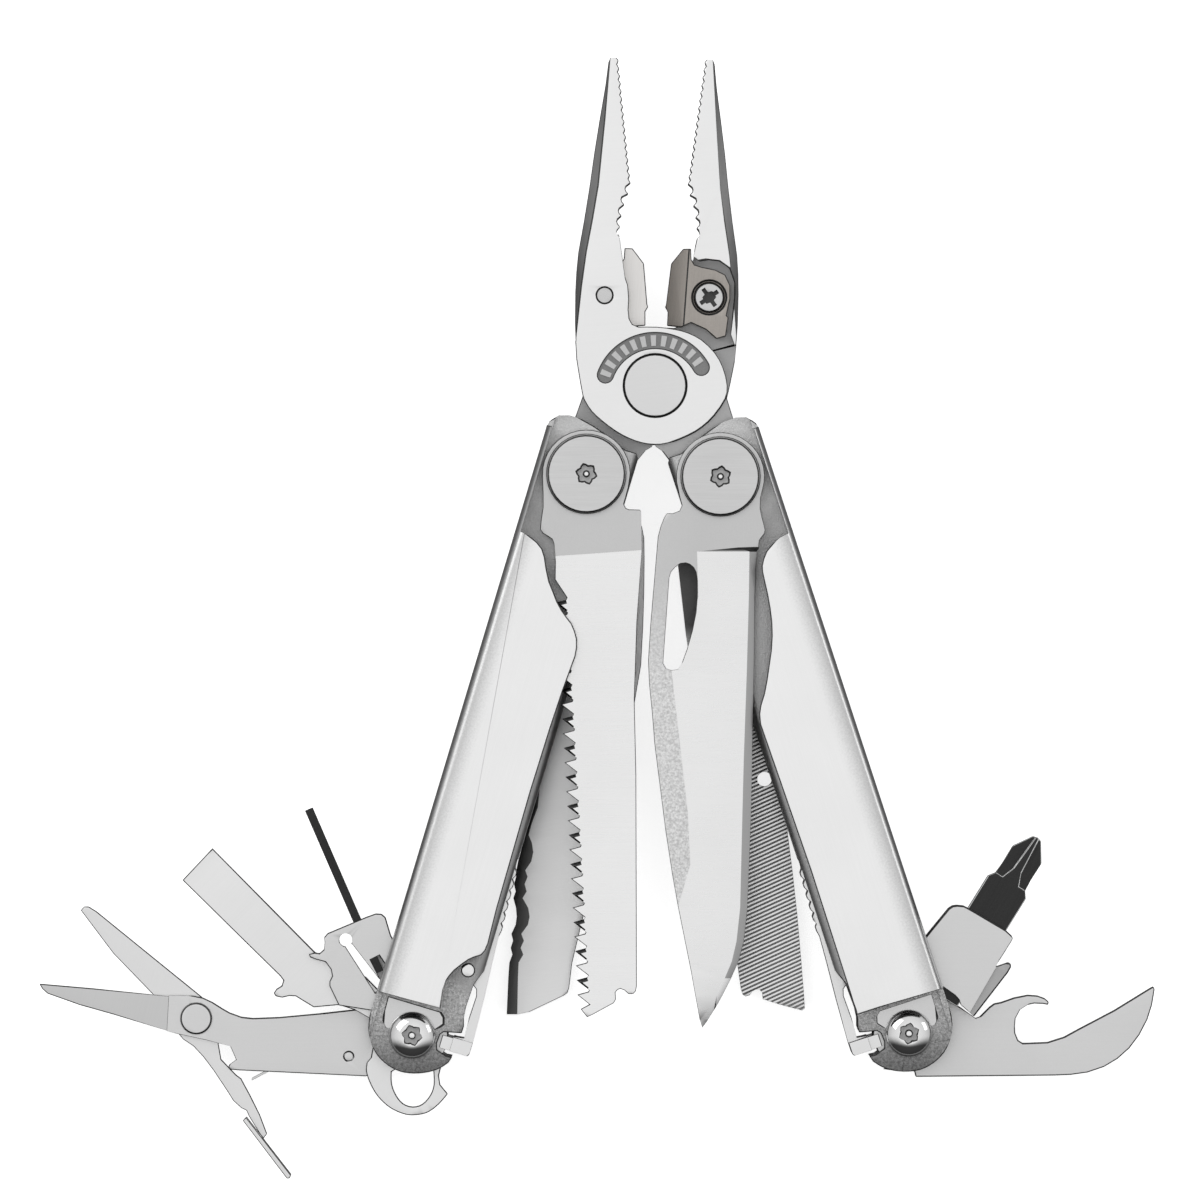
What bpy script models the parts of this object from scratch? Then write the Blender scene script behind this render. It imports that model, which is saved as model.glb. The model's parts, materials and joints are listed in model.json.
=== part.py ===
"""Folding plier multi tool, opened out: pliers up, handles splayed, every blade and tool swung out.

Lengths here are millimetres. Each piece is drawn about its own joint axis with z counted from the
tool's middle plane, then turned, flipped and moved into the row frame and scaled to metres.
"""
import math

import bmesh
import bpy
from mathutils import Matrix, Vector

for ob in list(bpy.data.objects):
    bpy.data.objects.remove(ob, do_unlink=True)

HALF = 8.9                      # half the 17.8 mm thickness over the handle panels
RIVET = (8.68, 34.85)           # pliers rivet from the row origin
HEAD_L = (-10.29, -13.25)       # handle pivots on the two jaw tangs, from the rivet
HEAD_R = (9.75, -13.65)
LEAN_L, LEAN_R = -16.73, 18.19  # how far each handle leans from straight down
AXLE = (-0.8, -87.9)            # inside tools' pivot in a handle's own frame
BACK_TURN = -2.31               # the back jaw stands open a little further than the front one

WALL = (4.3, 5.4)               # inner wall of a handle, in z
PANEL = (7.8, 8.9)              # outer panel
BLADE = (5.6, 7.6)              # outside blades run between them

tool = bpy.data.collections.new("multi_tool")
bpy.context.scene.collection.children.link(tool)
scratch = bpy.context.scene.collection


# ---------------------------------------------------------------- helpers
def spin(points, deg, about=(0, 0)):
    c, s = math.cos(math.radians(deg)), math.sin(math.radians(deg))
    return [(about[0] + (x - about[0]) * c - (y - about[1]) * s,
             about[1] + (x - about[0]) * s + (y - about[1]) * c) for x, y in points]


def flip(points):
    return [(-x, y) for x, y in points]


def arc(cx, cy, r, a0, a1, n):
    return [(cx + r * math.cos(math.radians(a0 + (a1 - a0) * i / n)),
             cy + r * math.sin(math.radians(a0 + (a1 - a0) * i / n))) for i in range(n + 1)]


def ring(cx, cy, r, n=40):
    return arc(cx, cy, r, 0, 360 - 360 / n, n - 1)


def curve(points, per=3):
    """More points along a smooth open run through the given ones."""
    p = [points[0]] + list(points) + [points[-1]]
    out = []
    for a, b, c, d in zip(p, p[1:], p[2:], p[3:]):
        for i in range(per):
            t = i / per
            out.append(tuple(0.5 * (2 * v + (w - u) * t + (2 * u - 5 * v + 4 * w - x) * t * t + (3 * v - u - 3 * w + x) * t ** 3)
                             for u, v, w, x in zip(a, b, c, d)))
    return out + [points[-1]]


def star(r, n=6, per=4):
    """A six-lobed screw socket, turned a little as a driven screw ends up."""
    out = []
    for i in range(n * per):
        a = 2 * math.pi * i / (n * per)
        q = r * (0.88 + 0.12 * math.cos(n * a))
        out.append((q * math.cos(a + 0.07), q * math.sin(a + 0.07)))
    return out


def wrap(mesh):
    ob = bpy.data.objects.new("work", mesh)
    scratch.objects.link(ob)
    return ob


def closed(mesh, tidy=1e-5):
    bm = bmesh.new()
    bm.from_mesh(mesh)
    bmesh.ops.remove_doubles(bm, verts=bm.verts, dist=tidy)
    bmesh.ops.recalc_face_normals(bm, faces=bm.faces)
    bm.to_mesh(mesh)
    bm.free()
    return mesh


def evaluated(ob):
    bpy.context.view_layer.update()
    deps = bpy.context.evaluated_depsgraph_get()
    mesh = bpy.data.meshes.new_from_object(ob.evaluated_get(deps))
    bpy.data.objects.remove(ob, do_unlink=True)
    return mesh


def flat(outline, z0, z1, holes=()):
    """A flat plate with the given outline and holes between two heights."""
    cu = bpy.data.curves.new("outline", "CURVE")
    cu.dimensions = "2D"
    cu.fill_mode = "BOTH"
    cu.extrude = (z1 - z0) / 2
    cu.render_resolution_u = 0
    for loop in (outline, *holes):
        sp = cu.splines.new("POLY")
        sp.points.add(len(loop) - 1)
        for p, (x, y) in zip(sp.points, loop):
            p.co = (x, y, 0, 1)
        sp.use_cyclic_u = True
    ob = bpy.data.objects.new("outline", cu)
    scratch.objects.link(ob)
    mesh = evaluated(ob)
    mesh.transform(Matrix.Translation((0, 0, (z0 + z1) / 2)))
    return wrap(closed(mesh))


def turned(profile, cx=0, cy=0, n=32):
    """A round solid about a line along z; the profile is (radius, z) pairs from axis to axis."""
    bm = bmesh.new()
    vs = [bm.verts.new((r, 0, z)) for r, z in profile]
    es = [bm.edges.new((a, b)) for a, b in zip(vs, vs[1:])]
    bmesh.ops.spin(bm, geom=vs + es, cent=(0, 0, 0), axis=(0, 0, 1), angle=2 * math.pi, steps=n, use_duplicate=False)
    mesh = bpy.data.meshes.new("turned")
    bm.to_mesh(mesh)
    bm.free()
    mesh.transform(Matrix.Translation((cx, cy, 0)))
    return wrap(closed(mesh, 1e-4))


def rod(cx, cy, r, z0, z1, n=32):
    return turned([(0, z0), (r, z0), (r, z1), (0, z1)], cx, cy, n)


def loft(sections):
    """A solid through a row of closed sections that all have the same number of points."""
    n = len(sections[0])
    verts = [v for s in sections for v in s]
    faces = [list(range(n))[::-1], [len(verts) - n + i for i in range(n)]]
    for k in range(len(sections) - 1):
        for i in range(n):
            a, b = k * n + i, k * n + (i + 1) % n
            faces.append((a, b, b + n, a + n))
    mesh = bpy.data.meshes.new("loft")
    mesh.from_pydata(verts, [], faces)
    bm = bmesh.new()
    bm.from_mesh(mesh)
    bmesh.ops.triangulate(bm, faces=bm.faces)
    bm.to_mesh(mesh)
    bm.free()
    return wrap(closed(mesh))


def ground(stations, z0, z1, side, plunge):
    """A slab with a knife's cross-section: flat, primary grind, then the edge bevel.

    Each station is (y, start of the grind, start of the bevel, edge, half thickness at the bevel); side is
    the way the edge faces, and the slab is full thickness above the plunge line.
    """
    zm, full = (z0 + z1) / 2, (z1 - z0) / 2
    rows = []
    for y in (12, plunge):
        rows.append([(-16 * side, y, full), (2.5 * side, y, full), (5 * side, y, full), (16 * side, y, full),
                     (16 * side, y, -full), (5 * side, y, -full), (2.5 * side, y, -full), (-16 * side, y, -full)])
    for y, x0, xb, xe, h in stations:
        rows.append([(-16 * side, y, full), (x0, y, full), (xb, y, h), (xe + 0.08 * side, y, 0.05),
                     (xe + 0.08 * side, y, -0.05), (xb, y, -h), (x0, y, -full), (-16 * side, y, -full)])
    ob = loft(rows)
    ob.data.transform(Matrix.Translation((0, 0, zm)))
    return ob


def combine(a, b, how):
    m = a.modifiers.new("b", "BOOLEAN")
    m.operation = how
    m.solver = "EXACT"
    m.object = b
    mesh = evaluated(a)
    bpy.data.objects.remove(b, do_unlink=True)
    return wrap(closed(mesh))


def cut(a, *bs):
    for b in bs:
        a = combine(a, b, "DIFFERENCE")
    return a


def join(a, *bs):
    for b in bs:
        a = combine(a, b, "UNION")
    return a


def common(a, b):
    return combine(a, b, "INTERSECT")


STEEL = (0.62, 0.62, 0.63)
made = {}


def piece(ob, name, at, turn=0.0, half_turn=False, color=STEEL, rough=0.35, metal=1.0):
    """Put a finished solid into the row frame, with its origin on its own axis."""
    m = Matrix.Rotation(math.radians(turn), 4, "Z")
    if half_turn:
        m = m @ Matrix.Rotation(math.pi, 4, "Y")
    mesh = ob.data
    mesh.transform(Matrix.Scale(0.001, 4) @ m)
    mesh.name = name
    bpy.data.objects.remove(ob, do_unlink=True)
    new = bpy.data.objects.new(name, mesh)
    new.location = ((RIVET[0] + at[0]) / 1000, (RIVET[1] + at[1]) / 1000, HALF / 1000)
    mat = bpy.data.materials.new(name)
    mat.use_nodes = True
    bsdf = mat.node_tree.nodes["Principled BSDF"]
    bsdf.inputs["Base Color"].default_value = (*color, 1)
    bsdf.inputs["Metallic"].default_value = metal
    bsdf.inputs["Roughness"].default_value = rough
    mat.diffuse_color = (*color, 1)
    mesh.materials.clear()
    mesh.materials.append(mat)
    tool.objects.link(new)
    made[name] = new
    return new


def in_handle(points, lean):
    return spin(points, lean)


AXLE_L = tuple(a + b for a, b in zip(HEAD_L, spin([AXLE], LEAN_L)[0]))
AXLE_R = tuple(a + b for a, b in zip(HEAD_R, spin([(-AXLE[0], AXLE[1])], LEAN_R)[0]))

# ---------------------------------------------------------------- pliers jaws
# Drawn as the front jaw, which has the left nose, the front half of the joint disc and the right tang.
# The back jaw is the same forging turned half a turn about the picture's upright axis.
GRIP_TOP, GRIP_END, GRIP_TEETH = (-5.45, 48.75), (-3.65, 30.4), 16


def grip():
    """The jaw's inner edge from the tip down: fine teeth, then coarse pipe teeth, then the cutter throat."""
    out = []
    (x0, y0), (x1, y1) = GRIP_TOP, GRIP_END
    for i in range(GRIP_TEETH):
        for f, d in ((0.0, 0.0), (0.5, 0.3)):
            t = (i + f) / GRIP_TEETH
            out.append((x0 + (x1 - x0) * t - d, y0 + (y1 - y0) * t))
    out.append((x1, y1))
    for x, y in ((-4.35, 29.5), (-4.95, 27.9), (-5.35, 26.2), (-5.6, 24.6), (-5.7, 22.95)):
        out += [(x, y + 0.35), (x - 0.1, y), (x, y - 0.35), (x + 0.35, y - 0.75)]
    return out


NOSE = ([(-5.75, 49.2)] + grip() +
        [(-5.2, 21.4), (-4.8, 18.5), (-4.5, 16.3), (-4.05, 15.0), (-3.9, 13.0), (-4.0, 11.2)] +
        arc(0, 0, 11.1, 111, 144, 5) +
        [(-11.9, 6.5), (-12.0, 9.5), (-11.95, 14), (-11.8, 17), (-11.5, 20), (-10.6, 25), (-9.8, 30),
         (-9.1, 35), (-8.3, 40), (-7.45, 45), (-7.0, 48.5), (-6.7, 49.2)])
DISC = ([(-4.3, 13.5), (-3.95, 11.0), (-3.85, 10.0), (-3.4, 9.2)] +
        curve([(-2.5, 8.8), (0.3, 8.8), (3, 8.45), (5, 7.9), (7, 6.85), (9, 4.9), (10.2, 2.7), (10.85, 0), (10.5, -2), (8.8, -4.5),
               (7, -6.2), (5, -7.4), (2, -8.6), (0, -8.85), (-2, -8.6), (-4, -7.9), (-6, -6.8), (-8, -5.3), (-9.5, -3.9),
               (-10.5, -2.4), (-10.9, -1.3), (-11.4, 1.5), (-11.8, 4)], 2) +
        [(-11.95, 6.6), (-11.5, 9), (-10.95, 13)])
TANG = ([(10.3, 0.5), (10.8, -2), (11.7, -4.9), (13.0, -8.0), (14.3, -10.6), (9.75, -13.65), (4.7, -14.3), (3.4, -12.9),
         (1.9, -10.9), (1.0, -9.7), (0.1, -9.1), (-1.5, -5)])
# Cutter insert of the back jaw, in front, and the pocket it sits in.
INSERT = [(4.2, 20.5), (2.4, 18.3), (1.65, 12.2), (1.5, 11.8), (1.9, 11.1), (1.8, 9.0), (3.9, 8.75), (5.4, 9.4),
          (7.6, 8.4), (9.2, 7.0), (10.6, 7.4), (11.0, 10.2), (10.7, 10.5), (11.25, 13), (11.25, 15), (10.5, 16.6),
          (9, 17.35), (7, 17.75), (5.9, 18.1), (5.45, 18.9), (5.4, 20.5)]
POCKET = [(-3, 20.9), (5.55, 20.9), (5.75, 19.4), (6.6, 18.75), (8, 19.0), (9.7, 18.8), (11.25, 17.7), (12.0, 15.6),
          (11.95, 13), (11.7, 10.4), (11.35, 7.6), (11.9, 6.0), (12.6, 5.2), (14, 3), (-3, 3)]
INSERT_SCREW = (8.1, 13.2)
SCREW_IN_JAW = flip(spin([INSERT_SCREW], -BACK_TURN))[0]


def jaw():
    stations = [(5.5, -12.1, -12.4, 4.0, 0.5), (15, -11.05, -12.1, 4.0, 1.3), (20, -10.35, -11.6, 3.85, 1.3),
                (25, -9.4, -10.75, 3.5, 1.2), (30, -8.55, -9.9, 3.1, 1.1), (40, -7.55, -8.4, 2.3, 0.8),
                (50, -6.6, -7.0, 1.6, 0.5)]
    shape = loft([[(3, y, h), (xf, y, h), (xs, y, h - c), (xs, y, c - h), (xf, y, -h), (3, y, -h)]
                  for y, xf, xs, h, c in stations])
    j = common(flat(NOSE, -6, 6), shape)
    j = join(j, flat(DISC, 0.05, 4.0))
    j = join(j, flat(TANG, 0.05, 3.3))
    j = join(j, rod(*HEAD_R, 5.4, -4.15, 4.15, 48))
    pocket = flip(spin(POCKET, -BACK_TURN))
    j = cut(j, flat(pocket, -5, 0.05),
            rod(0, 0, 3.05, -5, 5), rod(0, 0, 4.75, 3.3, 5, 40),
            rod(*HEAD_R, 2.55, -5, 5), rod(*SCREW_IN_JAW, 1.25, -5, 5, 20))
    return j


piece(jaw(), "jaw_front", (0, 0), 0, False, (0.60, 0.60, 0.61))
piece(jaw(), "jaw_back", (0, 0), BACK_TURN, True, (0.60, 0.60, 0.61))
piece(turned([(0, -4.1), (4.65, -4.1), (4.65, -3.4), (3.0, -3.35), (3.0, 3.35), (4.65, 3.4), (4.65, 4.1), (0, 4.1)], n=40),
      "pliers_rivet", (0, 0), 0, False, (0.55, 0.55, 0.56))


def insert():
    g = flat(INSERT, 0.1, 3.95)
    # the cutting edge is ground back from the front face to the middle plane
    bevel = loft([[(-1.5, 5, 0.6), (1.0, 5, 0.6), (4.6, 5, 4.6), (-1.5, 5, 4.6)],
                  [(-0.6, 24, 0.6), (2.0, 24, 0.6), (6.0, 24, 4.6), (-0.6, 24, 4.6)]])
    return cut(g, bevel, rod(*INSERT_SCREW, 1.25, -1, 5, 20), rod(*INSERT_SCREW, 2.6, 2.9, 5, 28))


def insert_screw():
    s = turned([(0, -3.9), (1.2, -3.9), (1.2, 2.95), (2.3, 2.95), (2.3, 3.7), (2.1, 4.0), (0, 4.0)], *INSERT_SCREW, n=28)
    socket = flat([(x + INSERT_SCREW[0], y + INSERT_SCREW[1]) for x, y in star(1.0)], 3.3, 5)
    return cut(s, socket)


for name, half in (("front", False), ("back", True)):
    turn = 0 if not half else 0
    g, s = insert(), insert_screw()
    if half:
        for ob in (g, s):
            ob.data.transform(Matrix.Rotation(math.radians(-BACK_TURN), 4, "Z"))
    piece(g, "cutter_insert_" + name, (0, 0), 0, half, (0.42, 0.36, 0.31), 0.4)
    piece(s, "cutter_screw_" + name, (0, 0), 0, half, (0.45, 0.42, 0.40), 0.35)

# ---------------------------------------------------------------- handles
# Frame: head pivot at the origin, the handle runs down -y, its open channel faces -x, its web is on +x.
SAW_SIDE_TOP = [(-6.95, 14), (-6.95, -11.1), (-5.6, -11.3), (-4.1, -11.9), (-3.1, -12.6), (-2.35, -13.7), (-1.65, -15.2),
                (-0.67, -17), (0.3, -18.2), (1.3, -19.5), (2.3, -20.5), (3.3, -21.3), (4.3, -22), (5.07, -22.9),
                (5.76, -24), (6.15, -25.3), (6.3, -26.6), (6.2, -28.5), (5.98, -32), (5.8, -38), (5.7, -48), (5.8, -58),
                (5.93, -66), (6.18, -71.4), (6.05, -72.6), (5.66, -73.4), (4.75, -74), (4.05, -74.6), (3.34, -75.5),
                (2.5, -76.7), (2.0, -77.8), (1.65, -79), (1.6, -80), (1.78, -81.3), (2.16, -82.75), (2.16, -90),
                (14, -90), (14, 14)]
KNIFE_SIDE_TOP = [(-6.95, 14), (-6.95, -11.15), (-5.56, -11.4), (-4.36, -11.9), (-3.06, -12.7), (-2.27, -13.6),
                  (-1.67, -14.6), (-1.43, -15.5), (-1.28, -17), (-1.09, -19), (-0.8, -21), (-0.41, -23), (0.18, -25),
                  (0.97, -27), (1.96, -29), (2.95, -31), (3.94, -32.8), (5.0, -34.3), (5.6, -35.5), (5.95, -37),
                  (5.8, -45), (5.58, -60), (5.6, -70), (5.7, -79), (5.8, -83), (5.8, -90), (14, -90), (14, 14)]
SKY = [(-10, 5.3), (-7.72, 5.3), (-7.55, 5.95), (-7.2, 6.45), (-6.43, 7.25), (-4.92, 7.7), (-3, 7.65), (-1, 7.2),
       (1, 6.55), (3, 5.7), (4.6, 5.12), (6.3, 5.12), (6.7, 4.5), (6.9, 3.6), (14, 3.6), (14, 14), (-10, 14)]
GROUND = [(14, -74), (6.95, -74), (6.75, -75.6), (6.3, -76.8), (5.85, -78), (5.7, -82), (5.86, -83.5), (6.24, -84.7),
          (6.24, -85.5), (3.6, -86.1), (3.2, -86.6), (3.1, -88.0), (3.4, -88.9), (5.0, -89.4), (5.9, -89.3),
          *curve([(5.6, -90.3), (4.57, -91.5), (3.07, -92.55), (1.06, -93.35), (-0.95, -93.65), (-2.94, -93.3),
                  (-4.93, -92.3), (-6.4, -90.7), (-7.4, -88.7), (-7.8, -86.5)]), (-10, -86.5), (-10, -100), (14, -100)]
LEDGE = [(-5.84, -83.4), (-5.77, -86), (-5.48, -87.3), (-4.9, -87.9), (-0.8, -88.2), (2.43, -86), (3.24, -85), (2.95, -84),
         (2.3, -83.4)]
LOCK_PIN = (4.43, -76.2)
WINDOW_TOP = -58.2


def section():
    """The folded sheet's cross-section: panel, U bend, inner wall, web, inner wall, U bend, panel."""
    top = ([(12, 8.9)] + arc(-6.25, 7.4, 1.5, 90, 180, 4) + arc(-6.25, 5.8, 1.5, 180, 270, 4) +
           arc(5.35, 3.7, 0.6, 90, 0, 3))
    inner = [(12, 7.8), (-6.85, 7.8), (-6.85, 5.4)] + arc(5.35, 3.9, 1.5, 90, 0, 4)
    low = [(x, -z) for x, z in reversed(top)]
    low_in = [(x, -z) for x, z in inner]
    return top + low + low_in + list(reversed(inner))


def handle():
    h = flat(section(), -97, 12)
    h.data.transform(Matrix.Rotation(math.radians(90), 4, "X"))
    h.data.transform(Matrix.Translation((0, -85, 0)))
    # the extrusion now runs along y from 12 down to -97
    h = cut(h, flat(SAW_SIDE_TOP, 6.0, 9.6), flat(KNIFE_SIDE_TOP, -9.6, -6.0))
    bottom = [(-10, -83.02), (2.2, -82.75), (16, -82.75), (16, -101), (-10, -101)]
    h = cut(h, flat(bottom, 5.75, 9.7), flat(bottom, -9.7, -5.75))
    lip = [(-10, 5.3), (-6, 5.3), (-6, 15), (-10, 15)]
    h = cut(h, flat(lip, 5.9, 9.5), flat(lip, -9.5, -5.9), flat(SKY, -9.8, 9.8), flat(GROUND, -9.8, 9.8))
    web = [(5.2, WINDOW_TOP), (9, WINDOW_TOP), (9, -99), (5.2, -99)]
    h = cut(h, flat(web, -4.28, 4.28), flat([(5.2, -3.2), (9, -3.2), (9, 16), (5.2, 16)], -4.28, 4.28))
    h = cut(h, flat(LEDGE, 5.25, 6.5), flat(LEDGE, -6.5, -5.25))
    h = cut(h, rod(0, 0, 2.55, -9, 9), rod(*AXLE, 2.25, -9, 9), rod(*LOCK_PIN, 1.05, -5.7, 5.7, 24))
    return h


piece(handle(), "handle_left", HEAD_L, LEAN_L, False, (0.66, 0.66, 0.67))
piece(handle(), "handle_right", HEAD_R, LEAN_R, True, (0.66, 0.66, 0.67))


def disc_screw():
    s = turned([(0, 4.0), (1.5, 4.0), (1.5, 7.7), (5.75, 7.7), (6.0, 7.95), (6.0, 8.45), (5.7, 8.75), (0, 8.75)], n=40)
    return cut(s, flat(star(1.55), 7.9, 9.5, [ring(0, 0, 0.42, 16)]))


def dome_screw():
    dome = [(3.5, 5.75), (3.42, 6.0), (3.1, 6.45), (2.5, 6.85), (1.7, 7.1), (0, 7.15)]
    s = turned([(0, 2.6), (1.3, 2.6), (1.3, 5.45), (3.5, 5.45)] + dome, n=32)
    return cut(s, flat(star(1.6), 6.1, 9.5, [ring(0, 0, 0.5, 16)]))


def barrel(r, bore, z, deep):
    return turned([(0, deep - 0.2), (bore, deep - 0.2), (bore, z), (r, z), (r, -z), (bore, -z), (bore, 0.2 - deep), (0, 0.2 - deep)], n=36)


LOCK_LEVER = ([(6.5, -58.6), (6.75, -58.7)] +
              [p for k in range(6) for p in ((6.82 + 0.07 * k, -59.6 - 1.7 * k), (7.2 + 0.07 * k, -60.1 - 1.7 * k),
                                             (7.2 + 0.07 * k, -60.7 - 1.7 * k))] +
              [(7.35, -70.2), (7.55, -74), (7.95, -80), (8.24, -86.35), (8.24, -88.2), (8.0, -88.55), (5.2, -88.55),
               (5.2, -86.42), (6.8, -86.2), (6.6, -83), (6.7, -79.6), (6.4, -78.6), (5.5, -78.0)] +
              arc(*LOCK_PIN, 1.9, -60, -250, 8) + [(5.3, -72.6), (5.75, -69), (5.95, -59.2)])


def lock_lever():
    body = flat(LOCK_LEVER, -3.9, 3.9)
    end = [(8.24, -86.4), (8.24, -88.2), (8.0, -88.55), (5.25, -88.55), (5.25, -86.42)]
    hook = [(8.0, -86.5), (8.0, -88.5), (3.55, -88.5), (3.55, -86.55)]
    body = join(body, flat(end, -6.3, 6.3))
    body = join(body, flat(hook, 4.36, 5.35), flat(hook, -5.35, -4.36))
    return cut(body, rod(*LOCK_PIN, 1.05, -9, 9, 24))


def lock_spring():
    """A wavy leaf under the lever's upper arm."""
    mid = [(5.5, -46.0), (5.2, -50.0), (4.75, -55.0), (4.7, -60.0), (5.05, -64.5), (5.0, -68.5), (4.55, -72.0)]
    return flat([(x + 0.22, y) for x, y in mid] + [(x - 0.22, y) for x, y in reversed(mid)], -3.0, 3.0)


for side, at, lean, half in (("left", HEAD_L, LEAN_L, False), ("right", HEAD_R, LEAN_R, True)):
    piece(barrel(2.5, 1.55, 7.6, 3.6), "head_barrel_" + side, at, lean, half)
    piece(disc_screw(), "head_screw_" + side + "_" + ("front" if not half else "back"), at, lean, half, (0.6, 0.6, 0.61), 0.3)
    other = disc_screw()
    other.data.transform(Matrix.Rotation(math.pi, 4, "Y"))
    piece(other, "head_screw_" + side + "_" + ("back" if not half else "front"), at, lean, half, (0.6, 0.6, 0.61), 0.3)
    foot = AXLE_L if not half else AXLE_R
    piece(barrel(2.2, 1.35, 5.38, 2.4), "tool_barrel_" + side, foot, lean, half)
    piece(dome_screw(), "tool_screw_" + side + "_" + ("front" if not half else "back"), foot, lean, half, (0.75, 0.75, 0.76), 0.12)
    other = dome_screw()
    other.data.transform(Matrix.Rotation(math.pi, 4, "Y"))
    piece(other, "tool_screw_" + side + "_" + ("back" if not half else "front"), foot, lean, half, (0.75, 0.75, 0.76), 0.12)
    pin_at = tuple(a + b for a, b in zip(at, spin([LOCK_PIN if not half else (-LOCK_PIN[0], LOCK_PIN[1])], lean)[0]))
    shift = Matrix.Translation((-LOCK_PIN[0], -LOCK_PIN[1], 0))
    lever = lock_lever()
    lever.data.transform(shift)
    piece(lever, "lock_lever_" + side, pin_at, lean, half, (0.58, 0.58, 0.59), 0.4)
    piece(rod(0, 0, 1.0, -5.5, 5.5, 24), "lock_pin_" + side, pin_at, lean, half)
    piece(lock_spring(), "lock_spring_" + side, at, lean, half, (0.6, 0.6, 0.61), 0.3)

# ---------------------------------------------------------------- outside blades
# Each is drawn about its head pivot in the row's own directions.
SAW_TIP, SAW_PITCH = (-1.35, -77.85), 2.17


def saw_outline():
    out = arc(0, 0, 6.6, 182, 0, 18)
    out += [(6.3, -2), (5.9, -3.5), (5.6, -4.5), (5.9, -5.1), (6.3, -5.3), (8.0, -5.35), (8.2, -5.6), (8.25, -11.4),
            (7.6, -22), (7.2, -33.75), (7.45, -45), (7.55, -62), (7.55, -76.5), (7.4, -77.3), (7.0, -77.75),
            (6.3, -77.75), (5.7, -77.2), (5.1, -76.95), (4.7, -77.1), (4.35, -77.5), (4.45, -78.5), (4.1, -79.1),
            (1, -80.8), (0.1, -81.2), (-0.85, -80.0), (0.45, -79.3)]
    for k in range(28):
        x, y = SAW_TIP[0] - 0.0561 * SAW_PITCH * k, SAW_TIP[1] + SAW_PITCH * k
        out += [(x, y), (x + 1.65, y + 0.45), (x + 1.75, y + 0.72)]
    out += [(-4.7, -15.8), (-4.65, -12.5), (-4.8, -10.7), (-5.1, -9.8), (-5.8, -9.3), (-6.5, -8.9), (-6.9, -8.3),
            (-6.8, -7), (-6.5, -5), (-6.5, -3)]
    return out


def saw():
    s = flat(saw_outline(), *BLADE, [ring(0, 0, 2.55)])
    # both faces are ground down a little below the plunge line so the teeth stand proud in cut
    grind = [(-9, -12.55), (0, -11.95), (12, -11.1), (12, -90), (-9, -90)]
    return cut(s, flat(grind, 7.45, 9), flat(grind, 4, 5.75))


piece(saw(), "saw", HEAD_L, 0, False, (0.64, 0.64, 0.65))

KNIFE_TANG_TOP = arc(0, 0, 6.6, -8, 197, 20)       # anticlockwise over the top of the tang
KNIFE_SPINE = [(-6.1, -3), (-5.75, -4.3), (-6.1, -5.1), (-7.1, -5.5), (-8.0, -5.5), (-8.35, -6.0), (-8.9, -7.3),
               (-9.35, -9), (-9.6, -12), (-10.0, -17), (-10.45, -22), (-10.8, -27.5), (-10.65, -31), (-10.2, -35.5),
               (-9.85, -40), (-9.1, -46), (-8.2, -53), (-7.2, -59.5), (-6.4, -64), (-5.4, -69), (-4.4, -74), (-3.5, -79)]
KNIFE_EDGE = [((-2.7, -82.4), (-3.15, -81.1)), ((-1.9, -81.3), (-2.4, -80.3)), ((-0.6, -79.2), (-1.5, -79.1)),
              ((0.3, -77.6), (-0.5, -77.6)), ((1.6, -75.0), (0.6, -75.4)), ((2.7, -72.5), (1.6, -73.0)),
              ((3.5, -69.5), (2.4, -70.5)), ((4.0, -65), (2.9, -66.5)), ((4.3, -58), (3.15, -58)),
              ((4.6, -50), (3.3, -50)), ((4.75, -42), (3.5, -42)), ((4.9, -34), (3.75, -34)), ((5.05, -26), (4.0, -26)),
              ((5.15, -18), (4.25, -18)), ((5.4, -12.0), (4.3, -12.0)), ((5.5, -11.0), (4.35, -11.0))]
KNIFE_HEEL = [(5.7, -10.9), (5.8, -9.6), (6.1, -9.1), (6.55, -8.6), (6.7, -8), (6.55, -7.3), (6.2, -6), (5.95, -4.8),
              (6.0, -3.2)]
THUMB = [(-7.65, -15.2), (-7.4, -14.3), (-6.8, -13.6), (-6.0, -13.0), (-5.2, -12.9), (-4.6, -13.1), (-4.0, -13.6),
         (-3.55, -14.5), (-3.4, -15.5), (-3.4, -17.5), (-3.6, -20), (-4.2, -23), (-5.0, -25.8), (-5.8, -28),
         (-6.3, -28.8), (-7.3, -28.95), (-8.1, -28.7), (-8.55, -27.9), (-8.5, -27), (-7.9, -19)]


KNIFE_GRIND = [(-11.2, -3.5, 4.35, 5.5, 0.42), (-18, -3.3, 4.25, 5.2, 0.42), (-29, -7.3, 3.95, 5.05, 0.42),
               (-42, -6.0, 3.5, 4.75, 0.42), (-50, -4.9, 3.3, 4.6, 0.42), (-58, -4.5, 3.15, 4.3, 0.42),
               (-64.5, -6.4, 2.95, 4.05, 0.42), (-69.5, -5.5, 2.4, 3.5, 0.42), (-72.5, -4.9, 1.7, 2.75, 0.42),
               (-75.0, -4.4, 0.65, 1.65, 0.42), (-77.6, -3.9, -0.55, 0.35, 0.42), (-79.6, -3.6, -1.8, -0.8, 0.4),
               (-81.3, -3.7, -3.0, -1.85, 0.3), (-82.9, -4.4, -4.0, -2.6, 0.2)]


def knife():
    outline = KNIFE_TANG_TOP + KNIFE_SPINE + [(-3.1, -81.2)] + [m for m, f in KNIFE_EDGE] + KNIFE_HEEL
    k = common(flat(outline, 4.5, 8.5, [ring(0, 0, 2.55), THUMB]), ground(KNIFE_GRIND, *BLADE, 1, -10.6))
    return k


piece(knife(), "knife", HEAD_R, 0, False, (0.66, 0.66, 0.67))

SERR_TURN = -4.0


def like_knife(points):
    return spin(flip(points), SERR_TURN)


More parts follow.
